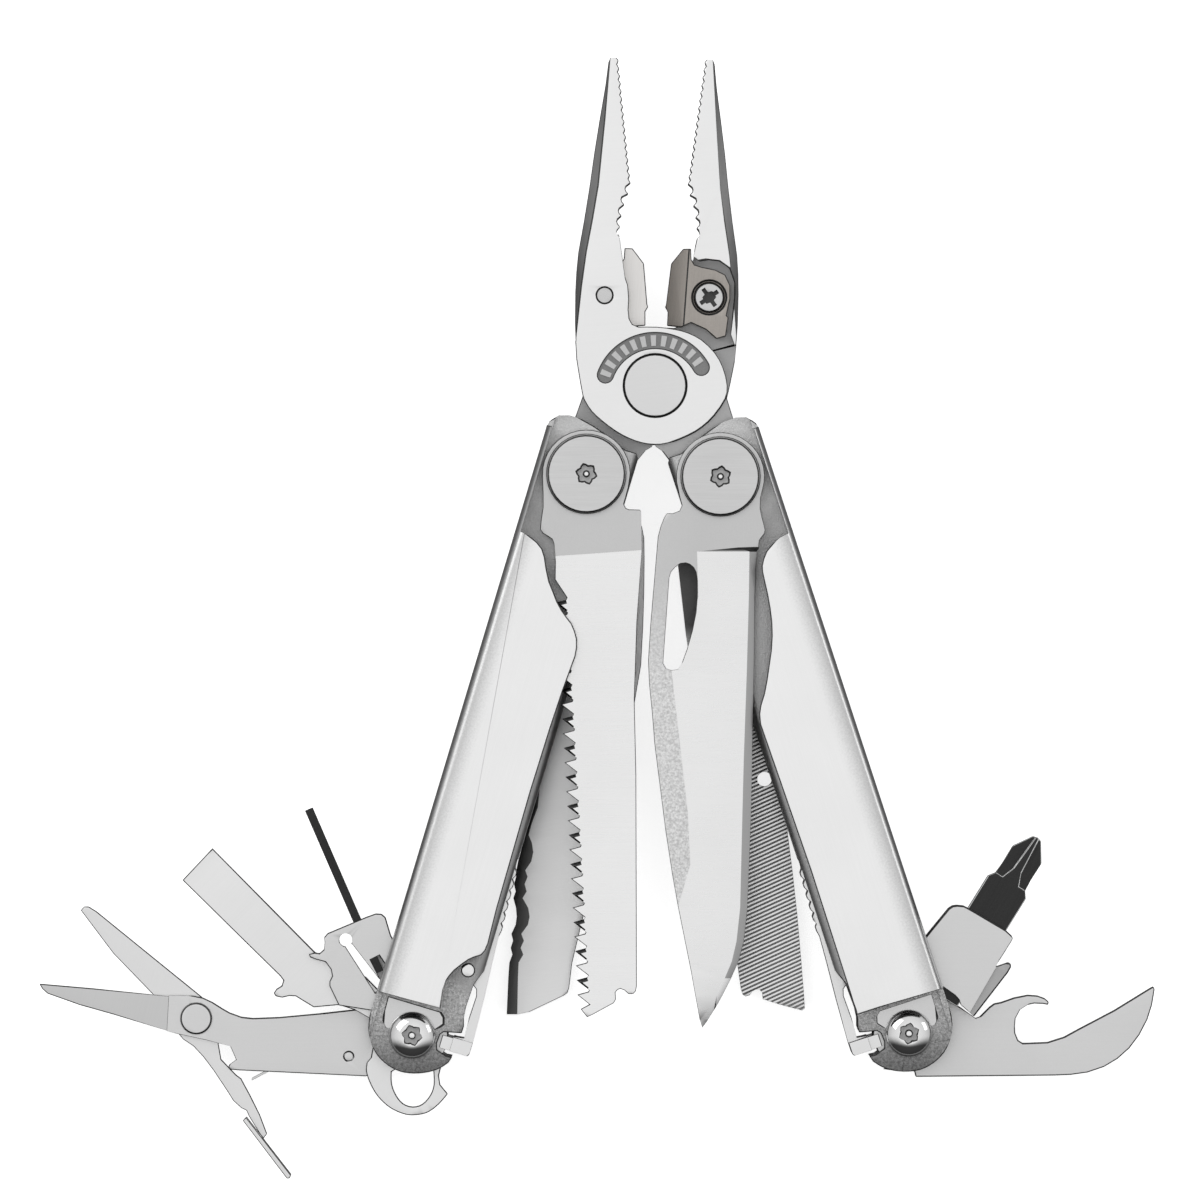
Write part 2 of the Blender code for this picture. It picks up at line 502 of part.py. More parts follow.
SCALLOPS = [((-8.35, -50.0), (-7.3, -50.0)), ((-8.75, -52.4), (-8.2, -52.6)), ((-9.4, -54.2), (-8.7, -54.2)),
            ((-9.6, -55.4), (-8.2, -55.4)), ((-9.9, -56.8), (-8.0, -56.8)), ((-10.3, -58.2), (-8.3, -58.2)),
            ((-10.55, -59.5), (-9.2, -59.5)), ((-10.6, -60.5), (-8.85, -60.5)), ((-10.9, -61.6), (-9.3, -61.7)),
            ((-10.65, -62.7), (-9.0, -62.7)), ((-11.0, -63.7), (-9.6, -63.8)), ((-10.6, -65.2), (-8.75, -65.3)),
            ((-10.5, -66.5), (-8.55, -66.5)), ((-10.65, -67.7), (-8.8, -67.7)), ((-11.3, -69.1), (-9.8, -69.1)),
            ((-11.05, -70.1), (-9.4, -70.1)), ((-11.4, -71.2), (-9.9, -71.3)), ((-11.15, -72.2), (-9.5, -72.2)),
            ((-11.6, -73.4), (-10.2, -73.5)), ((-11.75, -75.5), (-10.3, -75.5)), ((-12.0, -81.2), (-10.4, -81.0))]


def serrated():
    upper = [((-6.1, -12.0), (-5.0, -12.0)), ((-6.35, -16.0), (-5.2, -16.0)), ((-7.0, -28.0), (-5.8, -28.0)),
             ((-7.65, -40.0), (-6.4, -40.0))]
    heel = [(-6.15, -10.9)] + like_knife([(5.8, -9.6), (6.1, -9.1), (6.55, -8.6), (6.7, -8), (6.55, -7.3), (6.2, -6),
                                         (5.95, -4.8), (6.0, -3.2)])
    shoulder = like_knife([(-6.1, -3), (-5.75, -4.3), (-6.1, -5.1), (-7.1, -5.5), (-8.0, -5.5), (-8.35, -6.0),
                           (-8.9, -7.3), (-9.35, -9), (-9.6, -12), (-9.9, -17), (-10.1, -22), (-10.2, -28)])
    top = like_knife(arc(0, 0, 6.6, 197, -8, 20))
    back = [(7.3, -34), (5.8, -42), (3.9, -50), (1.6, -59), (-0.6, -67.0), (-1.3, -70.0), (-2.15, -73.5),
            (-2.6, -77.2), (-2.85, -77.95), (-3.4, -78.35)]
    bottom = [(-6, -79.6), (-8.5, -80.8), (-10.4, -81.2)]
    # over the top of the tang from the edge side to the spine, down the spine, up the edge
    edge = upper + SCALLOPS
    outline = list(reversed(top)) + shoulder + back + bottom + [m for m, f in reversed(edge)] + heel
    starts = {-12.0: 2.4, -16.0: 2.0, -28.0: 4.4, -40.0: 2.9}
    rows = [(m[1], starts.get(m[1], max(-5.0, 2.4 - (-m[1] - 48) * 0.21)), f[0], m[0], 0.45) for m, f in edge]
    rows.append((-82.5, -4.9, -10.4, -12.05, 0.45))
    return common(flat(outline, -8.5, -4.5, [ring(0, 0, 2.55), like_knife(THUMB)]), ground(rows, -7.6, -5.6, -1, -10.6))


piece(serrated(), "serrated_knife", HEAD_L, 0, False, (0.63, 0.63, 0.64))

FILE_TURN = 9.1


def like_saw(points):
    return spin(flip(points), FILE_TURN)


def file_blade():
    out = like_saw(arc(0, 0, 6.6, 182, 0, 18))
    out += like_saw([(6.3, -2), (5.9, -3.5), (5.6, -4.5), (5.9, -5.1), (6.3, -5.3), (8.0, -5.35), (8.2, -5.6), (8.25, -11.4)])
    out += [(-5.1, -23.5), (-2.95, -38), (-0.7, -52), (1.6, -66), (2.65, -73.1), (3.2, -77.0), (3.45, -77.8), (3.9, -78.1),
            (4.5, -77.9), (4.9, -77.4), (5.4, -77.05), (6.0, -77.1), (6.4, -77.5), (6.5, -78.5), (9, -79.3),
            (12.4, -80.2), (12.8, -79.9), (12.7, -78), (12.3, -73), (11.7, -66), (11.0, -59.5), (10.3, -54),
            (9.3, -44), (8.3, -32), (7.6, -22)]
    out += like_saw([(-4.7, -15.8), (-4.65, -12.5), (-4.8, -10.7), (-5.1, -9.8), (-5.8, -9.3), (-6.5, -8.9), (-6.9, -8.3),
                     (-6.8, -7), (-6.5, -5), (-6.5, -3)])
    hang = ring(6.75, -45.4, 1.1, 20)
    return flat(out, -7.6, -5.6, [ring(0, 0, 2.55), hang])


piece(file_blade(), "file", HEAD_R, 0, False, (0.55, 0.55, 0.56), 0.5)

# ---------------------------------------------------------------- inside tools, left
# Each is drawn about the tool barrel in the row's own directions.
BORE = ring(0, 0, 2.25, 28)
SCISSOR_PIN = (-32.5, 2.3)


def scissors_body():
    """Fixed blade, shank and tang in one plate; the pivot end is thinner to take the moving blade behind it."""
    shank = [(-36.6, 5.75), (-33, 5.7), (-31.5, 5.4), (-30, 4.7), (-28.5, 3.75), (-27.2, 3.0), (-25.8, 2.5), (-24, 2.3),
             (-20, 2.45), (-14, 3.0), (-7, 3.8), (-4, 4.4)] + arc(0, 0, 5.4, 120, -120, 14) + \
            [(-7, -6.4), (-15, -6.0), (-26, -5.5), (-27.3, -5.4), (-27.7, -5.0), (-27.5, -4.6), (-26.5, -3.9), (-27.4, -1.85),
             (-31, -0.95), (-35.4, 0.0), (-36.9, 0.4)]
    hollow = [(-20.8, -7.8), (-22.9, -4.2), (-26.4, -3.4), (-27.9, -1.5), (-27.2, 4.8), (-60, 12), (-60, -9)]
    body = flat(shank, -4.15, -1.15, [BORE])
    body = cut(body, flat(hollow, -5.0, -2.55))
    blade = flat([(-36.2, 5.55), (-36.2, 0.25), (-40, 1.4), (-45, 2.9), (-50, 4.3), (-54.8, 6.0), (-55.6, 6.7), (-56.05, 7.5),
                  (-48, 6.8), (-39, 5.85)], -2.5, -1.25)
    groove = [(-7.7, -2.2), (-16, -3.3), (-22.3, -4.2), (-26.4, -4.6), (-26.4, -7.5), (-21.5, -7.5), (-16, -5.6), (-11.2, -5.3), (-7.7, -5.2)]
    body = cut(body, flat(groove, -5.0, -2.8))
    body = join(body, blade)
    return cut(body, rod(*SCISSOR_PIN, 1.65, -6, 1, 24), rod(-9.6, -3.4, 0.72, -6, 1, 16))


def scissors_blade():
    out = [(-49.9, 18.5), (-49.4, 19.05), (-48.7, 19.05), (-47.5, 18.3), (-40, 12.2), (-32.6, 6.2), (-30.4, 4.4), (-29.4, 2.2),
           (-29.2, -1.6), (-28.8, -3.9), (-26.6, -6.2), (-25.8, -6.8), (-24.5, -9.2), (-23, -12.2), (-22.2, -14.3), (-21.9, -15.1), (-22.5, -15.9),
           (-24.6, -12.5), (-25, -11.6), (-25.8, -11.2), (-27, -10.1), (-28, -8.5), (-30, -5.5), (-31.5, -3.5),
           (-33, -1.9), (-34.5, -0.9), (-35.6, 0.4), (-36.2, 2.5), (-39, 5.8), (-45, 12.0)]
    b = flat(out, -4.1, -2.65)
    tab = [(-25.5, -13.0), (-25.0, -12.5), (-18.25, -21.2), (-18.45, -21.7), (-18.9, -21.7)]
    b = join(b, flat(tab, -4.1, -0.3))
    b.data.transform(Matrix.Translation((-SCISSOR_PIN[0], -SCISSOR_PIN[1], 0)))
    return cut(b, rod(0, 0, 1.65, -6, 1, 24))


piece(scissors_body(), "scissors_body", AXLE_L, 0, False, (0.62, 0.62, 0.63))
at_pin = (AXLE_L[0] + SCISSOR_PIN[0], AXLE_L[1] + SCISSOR_PIN[1])
piece(scissors_blade(), "scissors_blade", at_pin, 0, False, (0.62, 0.62, 0.63))
piece(turned([(0, -4.2), (1.6, -4.2), (1.6, -1.1), (2.4, -1.1), (2.4, -0.75), (2.25, -0.6), (0, -0.6)], n=32), "scissors_rivet", at_pin,
      0, False, (0.58, 0.58, 0.59))
piece(rod(0, 0, 0.68, -4.1, -1.0, 16), "spring_pin", (AXLE_L[0] - 9.6, AXLE_L[1] - 3.4), 0, False, (0.58, 0.58, 0.59))


def scissors_spring():
    """A leaf in a groove behind the shank, from its pin to the thumb lever."""
    mid = [(-8.5, -3.2), (-8.6, -4.2), (-9.6, -4.6), (-11.5, -4.25), (-16, -4.5), (-21, -5.2), (-24.2, -6.9)]
    return flat([(x, y + 0.2) for x, y in mid] + [(x, y - 0.2) for x, y in reversed(mid)], -3.95, -2.95)


piece(scissors_spring(), "scissors_spring", AXLE_L, 0, False, (0.6, 0.6, 0.61))

FLAT_DRIVER = ([(-34.5, 23.1), (-30.0, 27.9), (-14.7, 12.4), (-11.0, 10.0), (-7, 8.6), (-3.2, 4.7)] + arc(0, 0, 5.4, 120, -110, 14) +
               [(-5.4, 1.8), (-8.5, 3.6), (-11, 4.4), (-14.8, 4.05), (-17.5, 5.7), (-18.5, 5.75), (-19.5, 5.5),
                (-20.5, 5.7), (-20.8, 6.2), (-20.4, 6.8), (-19.6, 7.3), (-19.35, 8.1), (-19.8, 8.7)])


def flat_driver():
    """A wide screwdriver blade, ground from both faces towards its tip."""
    f = flat(FLAT_DRIVER, -0.15, 1.95, [BORE])
    wedges = []
    for s in (1, -1):
        rows = [[(-12, v, s * 1.06), (-1, v, s * 0.35), (1, v, s * 0.35), (1, v, s * 3), (-12, v, s * 3)][::s] for v in (-8, 8)]
        c = loft(rows)
        c.data.transform(Matrix.Translation((-32.25 + 1.5, 25.5 - 1.4, 0.9)) @ Matrix.Rotation(math.radians(133.2), 4, "Z") @
                         Matrix.Translation((1.2, 0, 0)))
        wedges.append(c)
    return cut(f, *wedges)


piece(flat_driver(), "flat_screwdriver", AXLE_L, 0, False, (0.68, 0.68, 0.69))

SMALL_DRIVER = ([(-15.5, 12.1), (-14.6, 12.3), (-13.9, 12.2), (-13.2, 12.8), (-13.1, 13.9), (-13.2, 14.6), (-12.7, 15.2),
                 (-7, 17.6), (-5.5, 18.15), (-4.6, 18.1), (-4.0, 17.6), (-3.2, 14.9), (0.3, 8.5), (3.6, 4)] +
                arc(0, 0, 5.4, 40, -120, 10) + [(-5.4, 1.4), (-5.9, 3.6), (-11, 4.4), (-12.4, 7.3), (-12.4, 8.0),
                                              (-12.0, 8.8), (-12.2, 9.8), (-13, 10.9), (-14.5, 11.3), (-15.3, 11.6)])
BIT_LINE = ((-15.5, 33.8), (-4.9, 9.4))


def along(a, b, w, z0, z1, over=0.0):
    ax, ay = a
    bx, by = b
    d = math.hypot(bx - ax, by - ay)
    ux, uy = (bx - ax) / d, (by - ay) / d
    ax, ay = ax - ux * over, ay - uy * over
    return flat([(ax - uy * w, ay + ux * w), (ax + uy * w, ay - ux * w), (bx + uy * w, by - ux * w), (bx - uy * w, by + ux * w)], z0, z1)


def small_driver():
    d = flat(SMALL_DRIVER, 2.05, 4.2, [BORE])
    slot = [(-10.15, 13.4), (-5.6, 6.3), (-4.2, 7.4), (-9.0, 13.6)]
    d = cut(d, rod(-9.95, 14.2, 1.0, 0, 6, 24), flat(slot, 0, 6))
    pocket = [(-6.4, 11.3), (-5.0, 12.0), (-3.9, 10.3), (-4.75, 8.0)]
    d = cut(d, flat(pocket, 2.6, 6), along((-8.3, 17.25), BIT_LINE[1], 0.68, 2.6, 3.95, 2.0))
    return d


piece(small_driver(), "small_bit_driver", AXLE_L, 0, False, (0.62, 0.62, 0.63))


def small_bit():
    b = along(*BIT_LINE, 0.63, 2.65, 3.9)
    rows = [[(-1, v, s * 0.7), (2.4, v, s * 0.7), (-0.2, v, s * 0.12), (-1, v, s * 0.12)] for v in (-1, 1) for s in (1,)]
    return b


piece(small_bit(), "small_bit", AXLE_L, 0, False, (0.03, 0.03, 0.032), 0.4, 0.6)

RING_OUT = [(-3.5, 4.1)] + arc(0, 0, 5.4, 130, 40, 6) + [(4.4, -4.5), (3.95, -6.3), (4.15, -7.6), *curve([(5.3, -9.0), (4.0, -10.5), (2.45, -11.7), (0.9, -12.15),
            (-0.9, -12.15), (-2.9, -11.4), (-4.4, -10.3), (-5.6, -8.9), (-6.5, -7.2), (-7.0, -5.6), (-6.9, -4.3)]), (-6.3, -3.6),
            (-5.9, -1.5)]
RING_IN = [(-2.0, -5.0), *curve([(-3.15, -5.7), (-3.1, -7.5), (-2.5, -9.1), (-1.45, -10.4), (0, -10.9), (1.45, -10.5), (2.6, -9.2),
                                 (3.15, -7.6), (3.1, -5.4)]), (1.8, -4.8)]
piece(flat(RING_OUT, -1.0, -0.2, [BORE, RING_IN]), "lanyard_ring", AXLE_L, 0, False, (0.62, 0.62, 0.63))

# ---------------------------------------------------------------- inside tools, right
DRIVER = ([(1.2, 12.3), (2.4, 14.2), (6.0, 18.6), (6.6, 19.0), (7.3, 19.1), (8.3, 19.0), (9.0, 18.65), (14.6, 15.35), (15.4, 14.6),
           (15.6, 14.2), (15.45, 13.8), (13.0, 9.9), (9.15, 3.05), (7.9, 4.1), (7.6, 5.0), (6.9, 5.8), (5.2, 7.0), (4.6, 2.9)] +
          arc(0, 0, 5.4, 25, -190, 16) + [(-4.2, 5.5)])
BIT_AXIS = math.degrees(math.atan2(28.9 - 17.0, 19.2 - 11.8))


def large_driver():
    """One sheet folded over: two leaves joined by a side wall, with the bit held between them."""
    whole = []
    for p in DRIVER:
        whole.append(p)
        if p == (13.0, 9.9):
            whole += [(13.5, 9.95), (14.9, 10.45), (15.3, 10.4), (15.4, 9.9), (14.9, 9.0), (9.8, 2.4)]
    d = flat(whole, -1.1, 4.2, [BORE])
    d = cut(d, flat([(12.2, 9.6), (8.7, 3.7), (8.0, 2.0), (8.0, -8.0), (-9.0, -8.0), (-9.0, 24.0), (19.0, 24.0), (19.0, 11.2), (13.0, 11.2)],
                    -0.1, 3.2))
    return cut(d, flat([(13.15, 9.9), (9.2, 3.1), (9.6, 1.5), (17, 8), (17, 11.0), (13.5, 11.0)], 3.5, 6))


def bit_blank():
    """Flat-sided Phillips bit drawn pointing along +x from its shoulder, on its own axis."""
    shank = [(-13.5, 3.1), (-13.5, -3.1), (0, -3.33), (5.6, -3.33), (6.6, -2.6), (8.3, -2.5), (11.4, -2.55), (14.2, -0.75), (14.4, 0),
             (14.2, 0.75), (11.4, 2.55), (8.3, 2.5), (6.6, 2.6), (5.6, 3.33), (0, 3.33)]
    return shank


def phillips_bit():
    b = flat(bit_blank(), -1.58, 1.58)
    taper = loft([[(5.0, -4, 1.9), (11.2, -4, 1.9), (15.5, -4, 0.45), (15.5, 4, 0.45), (11.2, 4, 1.9), (5.0, 4, 1.9)][::-1],
                  [(5.0, -4, 4.0), (11.2, -4, 4.0), (15.5, -4, 4.0), (15.5, 4, 4.0), (11.2, 4, 4.0), (5.0, 4, 4.0)][::-1]])
    low = loft([[(5.0, -4, -1.9), (11.2, -4, -1.9), (15.5, -4, -0.45), (15.5, 4, -0.45), (11.2, 4, -1.9), (5.0, 4, -1.9)],
                [(5.0, -4, -4.0), (11.2, -4, -4.0), (15.5, -4, -4.0), (15.5, 4, -4.0), (11.2, 4, -4.0), (5.0, 4, -4.0)]])
    b = cut(b, taper, low)
    # four flutes leave the cross-shaped tip
    for a in (45, 135, 225, 315):
        c, s = math.cos(math.radians(a)), math.sin(math.radians(a))
        near, far = 0.42, 6
        mid0 = [(6.6, 2.0), (8.4, 1.0), (15.5, 0.28)]
        rows = []
        for x, q in mid0:
            r0, w = q, 4.0
            p = [(r0, 0), (r0 + w, -w), (r0 + w, w)]
            rows.append([(x, u * c - v * s, u * s + v * c) for u, v in p])
        b = cut(b, loft(rows))
    b.data.transform(Matrix.Translation((11.8, 17.0, 1.55)) @ Matrix.Rotation(math.radians(BIT_AXIS), 4, "Z"))
    return b


piece(large_driver(), "large_bit_driver", AXLE_R, 0, False, (0.62, 0.62, 0.63))
piece(phillips_bit(), "phillips_bit", AXLE_R, 0, False, (0.03, 0.03, 0.032), 0.4, 0.6)
piece(flat([(-3.6, 5.9), (-1.5, 6.1), (2.6, 11.2), (4.2, 13.6), (3.7, 13.9), (1.9, 11.6), (-2.0, 6.8)], 0.3, 2.8), "bit_spring", AXLE_R,
      0, False, (0.5, 0.5, 0.51))

OPENER = ([(-2, -5.0), (1.0, -6.0), (1.2, -6.8), (22, -6.6), (24.5, -6.5), (27, -6.15), (29.5, -5.3), (31.5, -4.1), (33.3, -2.5),
           (34.8, -0.5), (36, 1.8), (36.7, 4), (37.1, 6.4), (36.9, 6.8), (36.2, 6.4), (31, 3.2), (25.5, 0.3), (23.5, -0.8), (21, -1.6),
           (17.3, -1.75), (16.6, -1.3), (16.15, -0.2), (16.1, 0.8), (16.2, 2), (16.9, 3.3), (18, 4.0), (19, 4.2), (20.3, 4.15),
           (21.1, 4.0), (21.2, 4.5), (20.6, 5.0), (19.5, 5.4), (18, 5.5), (16, 5.1), (14, 4.4), (13, 4.2), (12.3, 3.7),
           (10.8, 2.2), (10.2, 2.0), (8.0, 3.6), (5.9, 4.9)] + arc(0, 0, 5.4, 45, 250, 12))
piece(flat(OPENER, -4.1, -1.9, [BORE]), "can_opener", AXLE_R, 0, False, (0.62, 0.62, 0.63))
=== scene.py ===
"""Looks of the folding plier multi tool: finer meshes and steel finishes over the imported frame.

Shapes are worked in millimetres in the row frame and scaled to metres at the end. Each visible piece starts
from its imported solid, has its edges broken and its small features cut, and gets a finish for each kind of face.
Heights of the tool's layers count from its middle plane.
"""
import json
import math

import bmesh
import bpy
from mathutils import Matrix, Vector, kdtree

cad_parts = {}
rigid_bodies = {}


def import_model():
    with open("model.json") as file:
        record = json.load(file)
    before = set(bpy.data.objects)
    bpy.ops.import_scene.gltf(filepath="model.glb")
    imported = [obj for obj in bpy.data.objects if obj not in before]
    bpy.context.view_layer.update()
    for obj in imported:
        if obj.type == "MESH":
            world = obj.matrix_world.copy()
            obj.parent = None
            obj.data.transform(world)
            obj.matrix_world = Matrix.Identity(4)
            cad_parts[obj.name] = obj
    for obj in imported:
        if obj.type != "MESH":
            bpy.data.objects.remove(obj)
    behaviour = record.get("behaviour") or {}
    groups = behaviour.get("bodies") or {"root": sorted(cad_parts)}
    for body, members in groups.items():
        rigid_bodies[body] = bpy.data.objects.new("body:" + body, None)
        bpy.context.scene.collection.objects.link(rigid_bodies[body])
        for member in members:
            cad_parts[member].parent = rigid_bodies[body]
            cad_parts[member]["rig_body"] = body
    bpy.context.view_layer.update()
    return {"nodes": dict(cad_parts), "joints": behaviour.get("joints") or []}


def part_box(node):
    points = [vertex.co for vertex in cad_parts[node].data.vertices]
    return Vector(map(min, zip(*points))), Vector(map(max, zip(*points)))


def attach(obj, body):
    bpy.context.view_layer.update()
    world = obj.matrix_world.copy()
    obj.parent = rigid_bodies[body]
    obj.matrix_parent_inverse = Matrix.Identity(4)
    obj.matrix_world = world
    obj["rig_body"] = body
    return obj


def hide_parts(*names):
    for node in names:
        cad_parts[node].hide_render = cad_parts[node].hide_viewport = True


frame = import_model()
scene = bpy.context.scene
MM = 1000                                      # millimetres in a metre
JOINT = {j["name"]: j for j in frame["joints"]}


def pivot(joint):
    """A joint's place in the row frame, in millimetres."""
    return Vector(JOINT[joint]["pos_m"]) * MM


RIVET, HEAD_L, HEAD_R = pivot("jaw_pivot"), pivot("left_handle_fold"), pivot("right_handle_fold")
AXLE_L, AXLE_R = pivot("scissors_fold"), pivot("can_opener_fold")
MID = RIVET.z                                  # the tool's middle plane
LEAN_L, LEAN_R = -16.73, 18.19                 # the handles' lean from straight down, degrees


# ---------------------------------------------------------------- camera, floor and light
CAMERA_AT = (0.00043, 0.00275, 2.0089)         # straight above the tool, metres
LENS = 400                                     # a long lens, so that the view has almost no perspective
SKY = ((0.0, 0.20), (1 - 1 / 256, 0.9371), (1.0, 1.0))   # brightness from straight down (0) to straight up (1)
SKY_TURNS = (-0.62, -0.12)                     # the sky dims between these y directions
SKY_DIM = 0.06                                 # and keeps this much of its light beyond them
LIGHTS = (                                     # name, place in metres, size in metres, watts
    ("key", (-0.55, 0.45, 0.75), 0.6, 1.92),
    ("fill", (0.75, 0.25, 0.45), 0.35, 0.6),
)
FLOOR_Z, FLOOR_HALF = -0.0002, 1.5             # metres
FLOOR_SEEN = 0.80                              # the floor's colour and glow to the camera
FLOOR_MIRRORED = 0.22                          # its colour to everything else, with no glow


def add_camera():
    cam = bpy.data.cameras.new("camera")
    cam.lens, cam.sensor_width, cam.clip_end = LENS, 36, 10
    camera = bpy.data.objects.new("camera", cam)
    camera.location = CAMERA_AT
    scene.collection.objects.link(camera)
    scene.camera = camera
    scene.view_settings.view_transform = "Standard"


def add_sky():
    """A sky that brightens with height, and whose light stands behind the tool, so that lower edges go dark."""
    world = bpy.data.worlds.new("studio")
    scene.world = world
    world.use_nodes = True
    tree = world.node_tree
    background = tree.nodes["Background"]
    coords = tree.nodes.new("ShaderNodeTexCoord")
    axes = tree.nodes.new("ShaderNodeSeparateXYZ")
    tree.links.new(coords.outputs["Generated"], axes.inputs[0])

    height = tree.nodes.new("ShaderNodeMapRange")
    height.inputs["From Min"].default_value = -1
    tree.links.new(axes.outputs["Z"], height.inputs["Value"])
    ramp = tree.nodes.new("ShaderNodeValToRGB")
    steps = ramp.color_ramp.elements
    steps.new(SKY[1][0])
    for step, (position, value) in zip(steps, SKY):
        step.position, step.color = position, (value, value, value, 1)
    tree.links.new(height.outputs[0], ramp.inputs[0])
    tree.links.new(ramp.outputs[0], background.inputs["Color"])

    side = tree.nodes.new("ShaderNodeMapRange")
    side.interpolation_type = "SMOOTHSTEP"
    side.inputs["From Min"].default_value, side.inputs["From Max"].default_value = SKY_TURNS
    side.inputs["To Min"].default_value, side.inputs["To Max"].default_value = SKY_DIM, 1.0
    tree.links.new(axes.outputs["Y"], side.inputs["Value"])
    tree.links.new(side.outputs[0], background.inputs["Strength"])


def add_lights():
    for name, at, size, power in LIGHTS:
        light = bpy.data.lights.new(name, "AREA")
        light.size, light.energy = size, power
        ob = bpy.data.objects.new(name, light)
        ob.location = at
        ob.rotation_euler = Vector(at).to_track_quat("Z", "Y").to_euler()
        scene.collection.objects.link(ob)


def add_floor():
    """A floor that is white to look at, but a mid grey table to the steel's undersides."""
    bm = bmesh.new()
    bmesh.ops.create_grid(bm, x_segments=2, y_segments=2, size=FLOOR_HALF)
    mesh = bpy.data.meshes.new("floor")
    bm.to_mesh(mesh)
    bm.free()
    floor = bpy.data.objects.new("floor", mesh)
    floor.location = (0, 0, FLOOR_Z)
    scene.collection.objects.link(floor)
    mat = bpy.data.materials.new("pale_floor")
    mat.use_nodes = True
    tree = mat.node_tree
    bsdf = tree.nodes["Principled BSDF"]
    bsdf.inputs["Roughness"].default_value = 0.9
    bsdf.inputs["Emission Color"].default_value = (1, 1, 1, 1)
    seen = tree.nodes.new("ShaderNodeLightPath").outputs["Is Camera Ray"]
    for name, mirrored in (("Base Color", FLOOR_MIRRORED), ("Emission Strength", 0.0)):
        choice = tree.nodes.new("ShaderNodeMapRange")
        choice.inputs["To Min"].default_value = mirrored
        choice.inputs["To Max"].default_value = FLOOR_SEEN
        tree.links.new(seen, choice.inputs["Value"])
        tree.links.new(choice.outputs[0], bsdf.inputs[name])
    mesh.materials.append(mat)


add_camera()
add_sky()
add_lights()
add_floor()


# ---------------------------------------------------------------- mesh helpers
WELD = 2e-3                                    # packed corners closer than this are one
FLAT_DEG = 0.8                                 # triangles that bend less than this are one face
SHADE_DEG = 38                                 # edges that bend more than this stay sharp in the shading


def round_point(cx, cy, r, deg):
    return cx + r * math.cos(math.radians(deg)), cy + r * math.sin(math.radians(deg))


def arc(cx, cy, r, a0, a1, n):
    return [round_point(cx, cy, r, a0 + (a1 - a0) * i / n) for i in range(n + 1)]


def spin(points, deg):
    c, s = math.cos(math.radians(deg)), math.sin(math.radians(deg))
    return [(x * c - y * s, x * s + y * c) for x, y in points]


def moved(points, origin):
    return [(x + origin[0], y + origin[1]) for x, y in points]


def wrap(mesh, name="work"):
    ob = bpy.data.objects.new(name, mesh)
    scene.collection.objects.link(ob)
    return ob


def evaluated(ob):
    """The mesh that an object's modifiers make; the object itself goes."""
    bpy.context.view_layer.update()
    mesh = bpy.data.meshes.new_from_object(ob.evaluated_get(bpy.context.evaluated_depsgraph_get()))
    bpy.data.objects.remove(ob, do_unlink=True)
    return mesh


def flat(loop, z0, z1):
    """A plate with this outline, between two heights."""
    cu = bpy.data.curves.new("loop", "CURVE")
    cu.dimensions, cu.fill_mode, cu.extrude = "2D", "BOTH", (z1 - z0) / 2
    line = cu.splines.new("POLY")
    line.points.add(len(loop) - 1)
    for p, (x, y) in zip(line.points, loop):
        p.co = (x, y, 0, 1)
    line.use_cyclic_u = True
    ob = bpy.data.objects.new("loop", cu)
    scene.collection.objects.link(ob)
    mesh = evaluated(ob)
    mesh.transform(Matrix.Translation((0, 0, MID + (z0 + z1) / 2)))
    bm = bmesh.new()
    bm.from_mesh(mesh)
    bmesh.ops.remove_doubles(bm, verts=bm.verts, dist=1e-4)
    bm.to_mesh(mesh)
    bm.free()
    return wrap(mesh)


def prism(rows):
    """A solid through closed sections with equal numbers of points."""
    n = len(rows[0])
    verts = [v for r in rows for v in r]
    faces = [list(range(n))[::-1], [len(verts) - n + i for i in range(n)]]
    for k in range(len(rows) - 1):
        for i in range(n):
            a, b = k * n + i, k * n + (i + 1) % n
            faces.append((a, b, b + n, a + n))
    mesh = bpy.data.meshes.new("prism")
    mesh.from_pydata(verts, [], faces)
    bm = bmesh.new()
    bm.from_mesh(mesh)
    bmesh.ops.recalc_face_normals(bm, faces=bm.faces)
    bm.to_mesh(mesh)
    bm.free()
    return wrap(mesh)


def merged(obs):
    """Several separate closed solids as one object."""
    bm = bmesh.new()
    for ob in obs:
        bm.from_mesh(ob.data)
        bpy.data.objects.remove(ob, do_unlink=True)
    mesh = bpy.data.meshes.new("merged")
    bm.to_mesh(mesh)
    bm.free()
    return wrap(mesh)


def cut(a, b):
    """Solid a without solid b."""
    m = a.modifiers.new("cut", "BOOLEAN")
    m.operation, m.solver, m.object = "DIFFERENCE", "EXACT", b
    mesh = evaluated(a)
    bpy.data.objects.remove(b, do_unlink=True)
    return wrap(mesh)


def packed(node):
    """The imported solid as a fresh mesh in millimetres, without the shading that it was packed with."""
    mesh = frame["nodes"][node].data.copy()
    mesh.transform(Matrix.Scale(MM, 4))
    bm = bmesh.new()
    bm.from_mesh(mesh)
    bmesh.ops.remove_doubles(bm, verts=bm.verts, dist=WELD)
    bm.to_mesh(mesh)
    bm.free()
    mesh.materials.clear()
    if "custom_normal" in mesh.attributes:
        mesh.attributes.remove(mesh.attributes["custom_normal"])
    return wrap(mesh)


def folded(mesh):
    """Corners of the triangles that face against their own polygon, where a bevel had no room."""
    mesh.calc_loop_triangles()
    corners = []
    for t in mesh.loop_triangles:
        if t.area > 5e-4 and t.normal.dot(mesh.polygons[t.polygon_index].normal) < 0:
            corners += [mesh.vertices[v].co.copy() for v in t.vertices]
    return corners


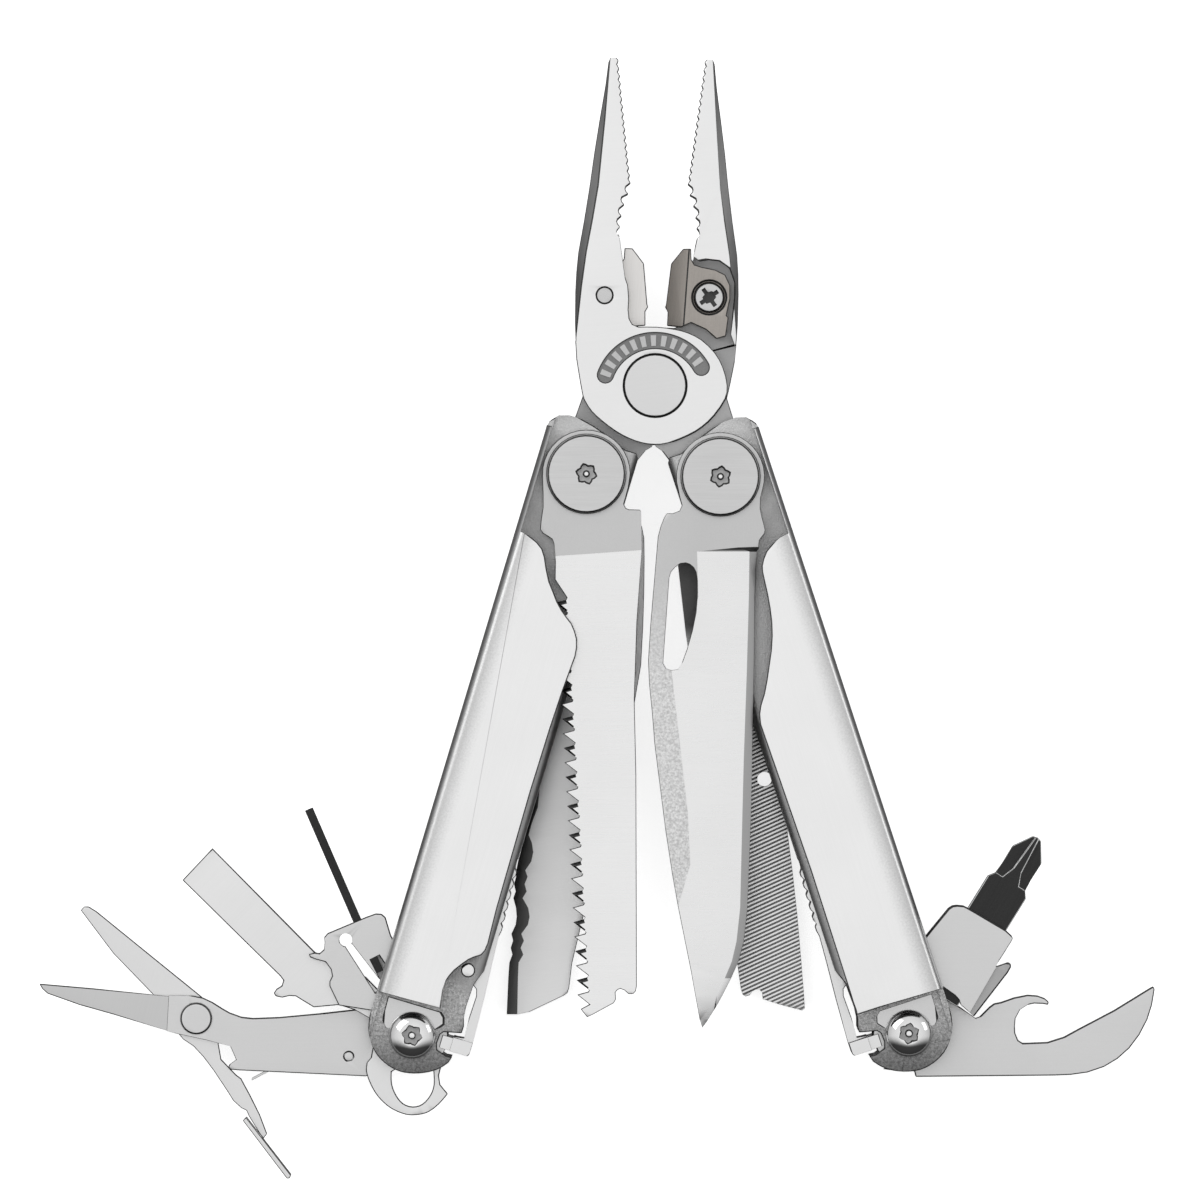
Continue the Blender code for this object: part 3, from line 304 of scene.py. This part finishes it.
def softened(bm, width, sharp, segments):
    """Break every sharp edge, less where the edges stand too close for the full width.

    The broken edges come out in material 1. Where they fold over, the edges nearby are broken less, and it
    is tried again.
    """
    layer = (bm.edges.layers.float.get("bevel_weight_edge")
             or bm.edges.layers.float.new("bevel_weight_edge"))
    edges = [e for e in bm.edges
             if len(e.link_faces) == 2 and e.calc_face_angle(0) > math.radians(sharp)]
    for e in edges:
        e[layer] = min(1.0, max(0.2, e.calc_length() * 0.9 / width))
    for attempt in range(7):
        base = bpy.data.meshes.new("base")
        bm.to_mesh(base)
        base.materials.append(edge_painted_shade)
        base.materials.append(edge_painted_shade)
        ob = wrap(base)
        m = ob.modifiers.new("soft", "BEVEL")
        m.limit_method, m.offset_type, m.miter_outer = "WEIGHT", "OFFSET", "MITER_SHARP"
        m.width, m.segments, m.profile = width, segments, 0.6
        m.use_clamp_overlap, m.material = False, 1
        mesh = evaluated(ob)
        bad = folded(mesh)
        if not bad:
            break
        tree = kdtree.KDTree(len(bad))
        for i, v in enumerate(bad):
            tree.insert(v, i)
        tree.balance()
        for e in edges:
            a, b = e.verts[0].co, e.verts[1].co
            if any(tree.find(a.lerp(b, k / 4))[2] < 2.2 * width for k in range(5)):
                e[layer] *= 0.45
    return mesh


def dress(node, mats, width=0.1, sharp=32, pick=None, segments=2, suffix="_steel", rim=None,
          before=None, after=None):
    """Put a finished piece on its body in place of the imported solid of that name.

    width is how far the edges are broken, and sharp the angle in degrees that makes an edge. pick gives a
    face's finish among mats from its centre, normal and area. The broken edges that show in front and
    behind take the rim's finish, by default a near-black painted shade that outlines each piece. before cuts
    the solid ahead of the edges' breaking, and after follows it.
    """
    work = packed(node)
    if before:
        work = before(work)
    bm = bmesh.new()
    bm.from_mesh(work.data)
    bpy.data.objects.remove(work, do_unlink=True)
    bmesh.ops.remove_doubles(bm, verts=bm.verts, dist=WELD)
    bmesh.ops.dissolve_limit(bm, angle_limit=math.radians(FLAT_DEG), verts=bm.verts, edges=bm.edges)
    bmesh.ops.dissolve_degenerate(bm, dist=1e-3, edges=bm.edges)
    mesh = softened(bm, width, sharp, segments)
    if after:
        work = after(wrap(mesh))
        mesh = work.data
        bpy.data.objects.remove(work, do_unlink=True)
    bm.clear()
    bm.from_mesh(mesh)
    bm.normal_update()
    for f in bm.faces:
        f.smooth = True
        # broken edges facing front or back take the rim, by default a painted shade along the edge
        if f.material_index == 1 and abs(f.normal.z) > 0.12:
            f.material_index = len(mats)
        else:
            f.material_index = pick(f.calc_center_median(), f.normal, f.calc_area()) if pick else 0
    bmesh.ops.triangulate(bm, faces=[f for f in bm.faces if len(f.verts) > 4])
    for e in bm.edges:
        e.smooth = len(e.link_faces) == 2 and e.calc_face_angle(0) < math.radians(SHADE_DEG)
    mesh = bpy.data.meshes.new(node + suffix)
    bm.to_mesh(mesh)
    bm.free()
    mesh.transform(Matrix.Scale(1 / MM, 4))
    for m in (*mats, rim or edge_painted_shade):
        mesh.materials.append(m)
    piece = wrap(mesh, node + suffix)
    piece.modifiers.new("even shading", "WEIGHTED_NORMAL").keep_sharp = True
    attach(piece, frame["nodes"][node]["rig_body"])
    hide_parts(node)


# ---------------------------------------------------------------- finishes
class Graph:
    """A material's nodes, written as expressions."""

    def __init__(self, name):
        self.mat = bpy.data.materials.new(name)
        self.mat.use_nodes = True
        self.tree = self.mat.node_tree
        self.bsdf = self.tree.nodes["Principled BSDF"]

    def put(self, sock, value):
        if isinstance(value, bpy.types.NodeSocket):
            self.tree.links.new(value, sock)
        else:
            sock.default_value = value

    def node(self, kind, out=0, props=(), **ins):
        """A node's output. An input goes by its name, or by i and its number where names repeat."""
        n = self.tree.nodes.new("ShaderNode" + kind)
        for k, v in props:
            setattr(n, k, v)
        for k, v in ins.items():
            self.put(n.inputs[int(k[1:]) if k[1:].isdigit() else k.replace("_", " ")], v)
        return n.outputs[out]

    def math(self, op, a, b):
        return self.node("Math", 0, (("operation", op),), i0=a, i1=b)

    def add(self, a, b):
        return self.math("ADD", a, b)

    def times(self, a, b):
        return self.math("MULTIPLY", a, b)

    def swing(self, noise, amount):
        """A noise's difference from its middle, at this strength."""
        return self.times(self.math("SUBTRACT", noise, 0.5), amount)

    def vector(self, op, a, b):
        return self.node("VectorMath", 0, (("operation", op),), i0=a, i1=b)

    def place(self, origin=(0, 0), turn=0.0, scale=(1, 1, 1)):
        """Coordinates in millimetres about a point of the row frame, turned into a piece's own directions."""
        about = (origin[0] / MM, origin[1] / MM, MID / MM)
        shift = self.vector("SUBTRACT", self.node("TexCoord", "Object"), about)
        turned = self.node("VectorRotate", 0, (("rotation_type", "Z_AXIS"),), Vector=shift,
                           Angle=math.radians(-turn))
        return self.vector("MULTIPLY", turned, tuple(MM * s for s in scale))

    def noise(self, vec, detail=2.0, rough=0.5):
        return self.node("TexNoise", 0, (), Vector=vec, Scale=1.0, Detail=detail, Roughness=rough)

    def dots(self, origin, turn, fine, detail, rough):
        """Noise that is the same size in every direction, with this many cells in a millimetre."""
        return self.noise(self.place(origin, turn, (fine, fine, fine)), detail, rough)

    def range(self, v, a, b, c, d):
        return self.node("MapRange", 0, (("interpolation_type", "SMOOTHSTEP"),), Value=v, From_Min=a,
                         From_Max=b, To_Min=c, To_Max=d)

    def axis(self, vec, k):
        n = self.tree.nodes.new("ShaderNodeSeparateXYZ")
        self.tree.links.new(vec, n.inputs[0])
        return n.outputs[k]

    def mix(self, f, a, b):
        return self.add(self.times(a, self.math("SUBTRACT", 1.0, f)), self.times(b, f))

    def near(self, at, inner, outer):
        """One close to a point of the row frame, nothing away from it."""
        d = self.node("VectorMath", 1, (("operation", "LENGTH"),), i0=self.place(at, 0, (1, 1, 0)))
        return self.range(d, inner, outer, 1.0, 0.0)

    def colour(self, v, tint):
        n = self.tree.nodes.new("ShaderNodeCombineXYZ")
        for k in range(3):
            self.put(n.inputs[k], self.times(v, tint[k]))
        self.tree.links.new(n.outputs[0], self.bsdf.inputs["Base Color"])

    def bump(self, height, depth):
        b = self.tree.nodes.new("ShaderNodeBump")
        b.inputs["Distance"].default_value = depth / MM
        b.inputs["Strength"].default_value = 1.0
        self.tree.links.new(height, b.inputs["Height"])
        self.tree.links.new(b.outputs[0], self.bsdf.inputs["Normal"])


def steel(name, tone, rough=0.32, grain=0.0, streak=0.05, fine=0.12, long=6.0, mottle=0.03, speck=0.0,
          origin=(0, 0), tint=(1, 1, 1), metal=1.0, relief=0.006, more=None):
    """Steel with streaks along the grain direction, slow mottling and fine speckle.

    grain is in degrees; fine and long are a streak's width and length, and relief the bump's depth, in
    millimetres. streak, mottle and speck are parts of the tone. more changes the tone, roughness and height.
    """
    g = Graph(name)
    narrow = g.noise(g.place(origin, grain, (1 / long, 1 / fine, 1 / fine)), 3.0, 0.6)
    broad = g.noise(g.place(origin, grain, (0.35 / long, 0.3 / fine, 0.3 / fine)))
    streaks = g.add(g.times(narrow, 0.6), g.times(broad, 0.4))
    slow = g.dots(origin, 0, 0.09, 2.0, 0.5)
    grit = g.dots(origin, 0, 4.5, 2.0, 0.7)
    v = g.add(g.swing(streaks, 2 * streak), 1.0)
    v = g.add(v, g.swing(slow, 2 * mottle))
    v = g.add(v, g.swing(grit, 2 * speck))
    v = g.times(v, tone)
    height = g.add(streaks, g.times(grit, speck * 6))
    r = g.add(rough - 0.05, g.times(streaks, 0.1))
    if more:
        v, r, height = more(g, v, r, height)
    g.colour(v, tint)
    g.put(g.bsdf.inputs["Roughness"], r)
    g.bsdf.inputs["Metallic"].default_value = metal
    g.bump(height, relief)
    return g.mat


def head_lit_foot_blotched(head, axle):
    """Painted light round the head joint, where the wall's lobe lies open; blotchy round the foot, and darker on
    its side away from the head.
    """
    def more(g, v, r, h):
        v = g.times(v, g.mix(g.near(head, 8.0, 10.0), 1.0, 1.22))
        blot = g.range(g.dots(axle, 0, 2.4, 4.0, 0.8), 0.3, 0.7, 0.6, 1.45)
        darkening = g.range(g.axis(g.place(axle), 1), -9, 7, 0.22, 1.1)
        blot = g.times(blot, darkening)
        return g.times(v, g.mix(g.near(axle, 9.5, 11.0), 1.0, blot)), r, g.add(h, blot)
    return more


def speckled(head):
    """A plain tang whose flat runs on down the spine as a rougher, speckled band."""
    def more(g, v, r, h):
        low = g.range(g.axis(g.place(head), 1), -36.0, -10.0, 1.0, 0.0)
        spots = g.dots(head, 0, 2.6, 3.0, 0.8)
        v = g.times(v, g.mix(low, 1.0, g.range(spots, 0.3, 0.7, 0.92, 1.5)))
        return v, g.add(r, g.times(low, 0.08)), g.add(h, g.times(low, g.times(spots, 2.0)))
    return more


def rolled(head, lean, way):
    """A panel that greys off in a grainy band towards its rolled outer edge: painted shade where the bend turns
    away from the light.
    """
    def more(g, v, r, h):
        across = g.times(g.axis(g.place(head, lean), 0), way)
        ragged = g.add(across, g.swing(g.dots(head, lean, 3.5, 3.0, 0.7), 2.2))
        return g.times(v, g.range(ragged, -8.2, -3.8, 0.5, 1.0)), r, h
    return more


def shaded_top(g, v, r, h):
    """The uncut steel below the file's shoulder is painted near black: painted shadow where it lies in shade
    under the thumb hole.
    """
    return g.times(v, g.range(g.axis(g.place(HEAD_R), 1), -22.0, -27.0, 0.12, 1.0)), r, h


# steel(name, tone, roughness, grain's direction, streaks, ...)
BROWN = (1.0, 0.93, 0.86)
# near-black painted shade for broken edges and the jaws' recess lip, in place of the dark that edges reflect
edge_painted_shade = steel("edge_painted_shade", 0.05, 0.40, 0, 0.10, mottle=0.15, speck=0.10)
# the panels grey off towards their rolled edges: painted shade
panel_l = steel("panel_left", 0.89, 0.30, LEAN_L + 90, 0.05, origin=HEAD_L, more=rolled(HEAD_L, LEAN_L, 1))
panel_r = steel("panel_right", 0.89, 0.30, LEAN_R + 90, 0.05, origin=HEAD_R,
                more=rolled(HEAD_R, LEAN_R, -1))
# rough speckled inner walls, whose dark tone is painted shade down in the channel under the panel and blades
wall_l = steel("wall_left_painted_shade", 0.50, 0.50, 0, 0.03, mottle=0.10, speck=0.22, relief=0.02,
               more=head_lit_foot_blotched(HEAD_L, AXLE_L))
wall_r = steel("wall_right_painted_shade", 0.50, 0.50, 0, 0.03, mottle=0.10, speck=0.22, relief=0.02,
               more=head_lit_foot_blotched(HEAD_R, AXLE_R))
ledge = steel("milled_ledge", 0.66, 0.30, 0, 0.05, mottle=0.05, speck=0.05)
# painted shade: the channel's sides, the lock levers' lower faces and the drivers' shaded faces
shade = steel("channel_painted_shade", 0.46, 0.42, 90, 0.08, mottle=0.08, speck=0.06)
jaw_face = steel("jaw_face", 0.85, 0.30, 6, 0.03, mottle=0.02)
# the jaw's sides and chamfers: real cross grain, with a dark tone that is painted shade
jaw_side_shade = steel("jaw_side_shade", 0.30, 0.32, 84, 0.16, mottle=0.10)
# painted shade for the jaw's pocket round the insert and its low faces
jaw_inner_painted_shade = steel("jaw_inner_painted_shade", 0.42, 0.42, 20, 0.08, mottle=0.10, speck=0.05)
rivet_face = steel("rivet_face", 0.73, 0.30, 8, 0.04)
cutter = steel("cutter_steel", 0.38, 0.36, 85, 0.16, tint=BROWN, speck=0.12, mottle=0.10)
cutter_light = steel("cutter_ground", 0.78, 0.32, 85, 0.10, tint=(1.0, 0.98, 0.96))
cutter_bevel = steel("cutter_bevel", 0.62, 0.50, 85, 0.14, tint=BROWN, speck=0.10)
cutter_bright = steel("cutter_screw_steel", 0.60, 0.20, 0, 0.06)
recess = steel("recess_floor", 0.24, 0.42, 20, 0.1, mottle=0.12, speck=0.2)
recess_bar = steel("recess_bar", 0.56, 0.36, 20, 0.08, mottle=0.06, speck=0.10)
disc_steel = steel("brushed_disc", 0.64, 0.32, 0, 0.14, fine=0.16, long=5, mottle=0.04)
# painted shade down in the screws' sockets and cross recesses
socket = steel("socket_painted_shade", 0.07, 0.45, 0, 0.10, speck=0.2)
socket_floor_shade = steel("socket_floor_shade", 0.42, 0.42, 0, 0.1, speck=0.2)
pin_top = steel("socket_pin", 0.85, 0.18, 0, 0.04)
tang = steel("blade_tang", 0.62, 0.40, 90, 0.02, speck=0.05)
knife_flat = steel("knife_flat", 0.61, 0.38, 90, 0.02, speck=0.05, more=speckled(HEAD_R))
ground_blade = steel("ground_blade", 0.86, 0.28, 0, 0.06, fine=0.16, long=9)
# the knife's edge bevel, darker than the grind on its steeper slope: painted shade
edge_bevel_shade = steel("edge_bevel_shade", 0.38, 0.30, 88, 0.08)
serrated_steel = steel("serrated_body", 0.78, 0.36, 10, 0.05)
# near-black painted shade on the serrated edge's bevels, in shadow behind the saw
serrated_bevel_shade = steel("serrated_bevel_shade", 0.09, 0.35, 75, 0.3)
# near-black painted shade on the filed tooth facets, where the gullets fall in shadow
saw_tooth_shade = steel("saw_facet_painted_shade", 0.03, 0.35, 0, 0.2)
# the file's uncut upper steel takes a painted shadow
file_steel = steel("file_land", 0.86, 0.32, 20, 0.06, speck=0.14, more=shaded_top)
file_cut = steel("file_groove", 0.48, 0.42, 20, 0.15, speck=0.25)
plate = steel("stamped_plate", 0.69, 0.34, 0, 0.04, speck=0.03)
plate_light = steel("stamped_plate_light", 0.79, 0.30, 45, 0.04)
scissor_blade = steel("scissor_ground", 0.60, 0.32, 75, 0.05)
moving_blade = steel("scissor_moving", 0.75, 0.30, 75, 0.04)
bright = steel("bright_screw", 0.78, 0.07, 0, 0.02, mottle=0.02, relief=0.002)
black = steel("black_oxide", 0.035, 0.34, 60, 0.3, mottle=0.2, speck=0.3, metal=0.9)
worn = steel("worn_edge", 0.55, 0.25, 60, 0.3, mottle=0.3, speck=0.3)
spring_steel = steel("spring_steel", 0.66, 0.24, 0, 0.04)
hidden = steel("plain_steel", 0.45, 0.4, 0, 0.03)


# ---------------------------------------------------------------- which face takes which finish
TANG_END = -10.4                               # the blades' grinds start this far along from the head joint
GRIND_END = -75.5                              # and the knife's edge bevel stops here


def up(n):
    """The face looks to the front or the back."""
    return abs(n.z) > 0.9


def height(c):
    return abs(c.z - MID)


def level(c, z, slack=0.02):
    return abs(height(c) - z) < slack


def by_face(test):
    """Two finishes: the first for the faces that pass the test, the second for all the others."""
    return lambda c, n, a: 0 if test(c, n) else 1


def handle_pick(c, n, a):
    """The panel with its rolled edge, the inner wall in painted shade, the ledge milled into it, and the
    channel's sides in painted shade.
    """
    if height(c) > 7.69 and abs(n.z) > 0.35:
        return 0
    if up(n) and 5.2 < height(c) < 5.3:
        return 2
    return 1 if up(n) else 3


# ---------------------------------------------------------------- handles
for side, mat, wall in (("left", panel_l, wall_l), ("right", panel_r, wall_r)):
    dress("handle_" + side, [mat, wall, ledge, shade], 0.17, 40, handle_pick)


# ---------------------------------------------------------------- pliers
JAW_TOP = 4.6                                  # clear above the jaws' faces
LIP, BAR_TOP, RECESS_FLOOR = 3.95, 3.84, 3.6   # heights in the curved recess
RECESS_R = 7.95                                # its middle line, about a point just below the rivet
RECESS_FROM, RECESS_TO = 29.5, 159.5           # degrees
BAR_STEP, BAR_WIDE = 11, 5.5                   # degrees
CROSS_FLOOR, CROSS_HALF, CROSS_LONG, CROSS_TURN = 3.45, 0.28, 1.5, 35


def arc_recess(ob):
    """The curved recess above the rivet: a rounded lip that jaw_pick paints near black as painted shade, a sunken
    floor, and plain radial bars on it.
    """
    cx, cy = RIVET.x, RIVET.y - 1.2

    def slot(half, z0, z1):
        start, end = (round_point(cx, cy, RECESS_R, deg) for deg in (RECESS_FROM, RECESS_TO))
        return flat(arc(cx, cy, RECESS_R + half, RECESS_FROM, RECESS_TO, 40)
                    + arc(*end, half, RECESS_TO + 10, RECESS_TO + 170, 8)
                    + arc(cx, cy, RECESS_R - half, RECESS_TO, RECESS_FROM, 40)
                    + arc(*start, half, RECESS_FROM + 190, RECESS_FROM + 350, 8), z0, z1)

    bars = [flat(arc(cx, cy, RECESS_R + 0.8, a, a + BAR_WIDE, 3)
                 + arc(cx, cy, RECESS_R - 0.8, a + BAR_WIDE, a, 3), RECESS_FLOOR - 0.1, BAR_TOP)
            for a in range(34, 156, BAR_STEP)]
    ob = cut(ob, slot(1.3, LIP, JAW_TOP))
    return cut(ob, cut(slot(1.15, RECESS_FLOOR, 4.4), merged(bars)))


def cross_slot(name):
    """Drives a cross recess into the pan head of the front or the back screw."""
    def before(ob):
        lo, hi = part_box("cutter_screw_" + name)
        centre = (lo[0] + hi[0]) * MM / 2, (lo[1] + hi[1]) * MM / 2
        h, r = CROSS_HALF, CROSS_LONG
        cross = [(-h, -r), (h, -r), (h, -h), (r, -h), (r, h), (h, h), (h, r), (-h, r), (-h, h), (-r, h),
                 (-r, -h), (-h, -h)]
        span = (CROSS_FLOOR, JAW_TOP) if name == "front" else (-JAW_TOP, -CROSS_FLOOR)
        return cut(ob, flat(moved(spin(cross, CROSS_TURN), centre), *span))
    return before


def jaw_pick(c, n, a):
    # sides and chamfers take painted shade
    if not up(n):
        return 1
    on_disc = c.y < RIVET.y + 10
    # the pocket floor round the insert: painted shade
    if height(c) < 1.0:
        return 2
    if level(c, RECESS_FLOOR) and on_disc:
        return 3
    if level(c, BAR_TOP) and a < 3:
        return 4
    # the recess lip: near-black painted shade
    if level(c, LIP, 0.012) and on_disc:
        return 5
    # low faces on the disc take painted shade
    return 0 if height(c) > 3.7 or c.y > RIVET.y + 12 else 2


def insert_pick(c, n, a):
    """Flat face, slanted cutting edge, sides."""
    return 0 if up(n) else (1 if abs(n.z) > 0.4 else 2)


for name, insert_face, recess_cut in (("front", cutter, arc_recess), ("back", cutter_light, None)):
    dress("jaw_" + name, [jaw_face, jaw_side_shade, jaw_inner_painted_shade, recess, recess_bar, edge_painted_shade], 0.13, 20, jaw_pick,
          suffix="_forging", after=recess_cut)
    dress("cutter_insert_" + name, [insert_face, cutter_bevel, cutter], 0.14, pick=insert_pick)
    # the cross recess takes painted shade
    dress("cutter_screw_" + name, [cutter_bright, socket], 0.1, pick=by_face(lambda c, n: height(c) > 3.5),
          before=cross_slot(name))
dress("pliers_rivet", [rivet_face], 0.16)


# ---------------------------------------------------------------- joint screws, barrels and locks
def screw_pick(axis, top):
    """Screw face, socket wall, the pin in the socket's middle, socket floor; wall and floor take painted shade.
    """
    def pick(c, n, a):
        r = math.hypot(c.x - axis.x, c.y - axis.y)
        if r < 0.55 and height(c) > top - 0.2 and a < 1.0:
            return 2
        if r < 1.75 and height(c) < top - 0.12 and a < 9.0:
            return 3 if up(n) else 1
        return 0
    return pick


for side, head, foot in (("left", HEAD_L, AXLE_L), ("right", HEAD_R, AXLE_R)):
    for face in ("front", "back"):
        dress(f"head_screw_{side}_{face}", [disc_steel, socket, pin_top, socket_floor_shade], 0.13, 30,
              screw_pick(head, 8.75))
        dress(f"tool_screw_{side}_{face}", [bright, socket, pin_top, socket_floor_shade], 0.11, 40,
              screw_pick(foot, 7.1))
    dress("head_barrel_" + side, [hidden], 0.05, 60)
    dress("tool_barrel_" + side, [hidden], 0.05, 60)
    # the lever's lower faces take painted shade
    dress("lock_lever_" + side, [plate_light, shade], 0.12, pick=by_face(lambda c, n: height(c) > 3.8))
    dress("lock_pin_" + side, [bright], 0.12, 60)
    dress("lock_spring_" + side, [spring_steel], 0.05, 50)


# ---------------------------------------------------------------- outside blades
SAW_FACES = ((7.45, 1), (5.75, -1))            # height, and the way that the face looks
SAW_PITCH, SAW_DRIFT = 2.17, -0.1217           # along the handle and across it for each tooth
FILE_FACES = ((-5.6, 1), (-7.6, -1))
FILE_PITCH, FILE_RIDGES, FILE_TIP = 0.6, 92, -82.0
RIDGE_HALF, RIDGE_DEEP = 0.17, 0.2


def facet(a, b, wide, deep, z):
    """A three-sided cutter that files a facet off the edge from a to b; the steel lies left of that line."""
    a, b = Vector(a), Vector(b)
    u = (b - a).normalized()
    side = Vector((-u.y, u.x))
    clear = 0.02 if deep > 0 else -0.02
    section = ((wide, clear), (-0.4, clear), (-0.4, -deep))
    return prism([[(p.x + side.x * d, p.y + side.y * d, MID + z + h) for d, h in section]
                  for p in (a - u * 0.05, b + u * 0.05)])


def set_teeth(ob):
    """Facets filed on every second tooth, on both faces of the saw."""
    upper, lower = [], []
    for k in range(1, 28, 2):
        x, y = HEAD_L.x - 1.35 + SAW_DRIFT * k, HEAD_L.y - 77.85 + SAW_PITCH * k
        for z, way in SAW_FACES:
            upper.append(facet((x + 1.5, y + 0.41), (x, y), 0.5, 0.6 * way, z))
            lower.append(facet((x, y), (x + 1.55, y - 1.28), 0.3, 0.5 * way, z))
    return cut(cut(ob, merged(upper)), merged(lower))


def file_teeth(ob):
    """Diagonal ridges down the file, the same on both faces."""
    cuts = []
    for z, way in FILE_FACES:
        for k in range(FILE_RIDGES):
            y = FILE_TIP + FILE_PITCH * k
            mid = 7.6 + (y + 76) * -0.035
            ends = ((HEAD_R.x + mid - 7.0, HEAD_R.y + y - 3.1), (HEAD_R.x + mid + 7.0, HEAD_R.y + y + 3.3))
            u = (Vector(ends[1]) - Vector(ends[0])).normalized()
            v = Vector((-u.y, u.x)) * RIDGE_HALF
            top, root = MID + z + 0.03 * way, MID + z - RIDGE_DEEP * way
            cuts.append(prism([[(px - v.x, py - v.y, top), (px + v.x, py + v.y, top), (px, py, root)]
                               for px, py in ends]))
    return cut(ob, merged(cuts))


def saw_pick(c, n, a):
    if up(n) and level(c, 6.6, 0.95):
        return 1
    # the filed tooth facets take painted shade
    return 2 if c.x < HEAD_L.x and 0.3 < abs(n.z) <= 0.9 and a > 0.12 else 0


def knife_pick(c, n, a):
    if c.y - HEAD_R.y > TANG_END or abs(n.z) < 0.2:
        return 0
    # the edge bevel's slope takes painted shade
    if abs(n.z) < 0.985 and c.y - HEAD_R.y > GRIND_END:
        return 2
    return 1 if abs(n.z) < 0.9993 else 0


def serrated_pick(c, n, a):
    # the sloped bevels below the tang take painted shade
    return 1 if 0.2 < abs(n.z) < 0.985 and c.y - HEAD_L.y < TANG_END else 0


dress("saw", [tang, ground_blade, saw_tooth_shade], 0.11, pick=saw_pick, before=set_teeth)
dress("knife", [knife_flat, ground_blade, edge_bevel_shade], 0.08, 40, knife_pick)
dress("serrated_knife", [serrated_steel, serrated_bevel_shade], 0.1, 40, serrated_pick)
dress("file", [file_steel, file_cut], 0.05, 60, by_face(lambda c, n: up(n)), rim=file_cut,
      before=file_teeth)


# ---------------------------------------------------------------- inside tools
def facing_at(z):
    """A flat face that looks to the front or back at this height above the middle plane."""
    return lambda c, n: up(n) and abs(c.z - MID - z) < 0.06


scissor_grind, driver_step = facing_at(-1.25), facing_at(3.5)
dress("scissors_body", [plate, scissor_blade], 0.15, pick=by_face(lambda c, n: not scissor_grind(c, n)))
dress("scissors_blade", [moving_blade], 0.12)
dress("scissors_rivet", [plate], 0.12)
dress("scissors_spring", [spring_steel], 0.04)
dress("spring_pin", [spring_steel], 0.06, 60)
dress("flat_screwdriver", [plate_light], 0.16)
# the small driver's sides and faces above 4 mm, and the large driver's step, take painted shade
dress("small_bit_driver", [plate, shade], 0.16, pick=by_face(lambda c, n: not up(n) or c.z - MID > 4.0))
dress("small_bit", [black], 0.1, rim=black)
dress("lanyard_ring", [plate_light], 0.16)
dress("large_bit_driver", [plate, shade], 0.22, segments=3,
      pick=by_face(lambda c, n: not driver_step(c, n)))
dress("phillips_bit", [black], 0.12, rim=worn)
dress("bit_spring", [spring_steel], 0.04)
dress("can_opener", [plate], 0.18)
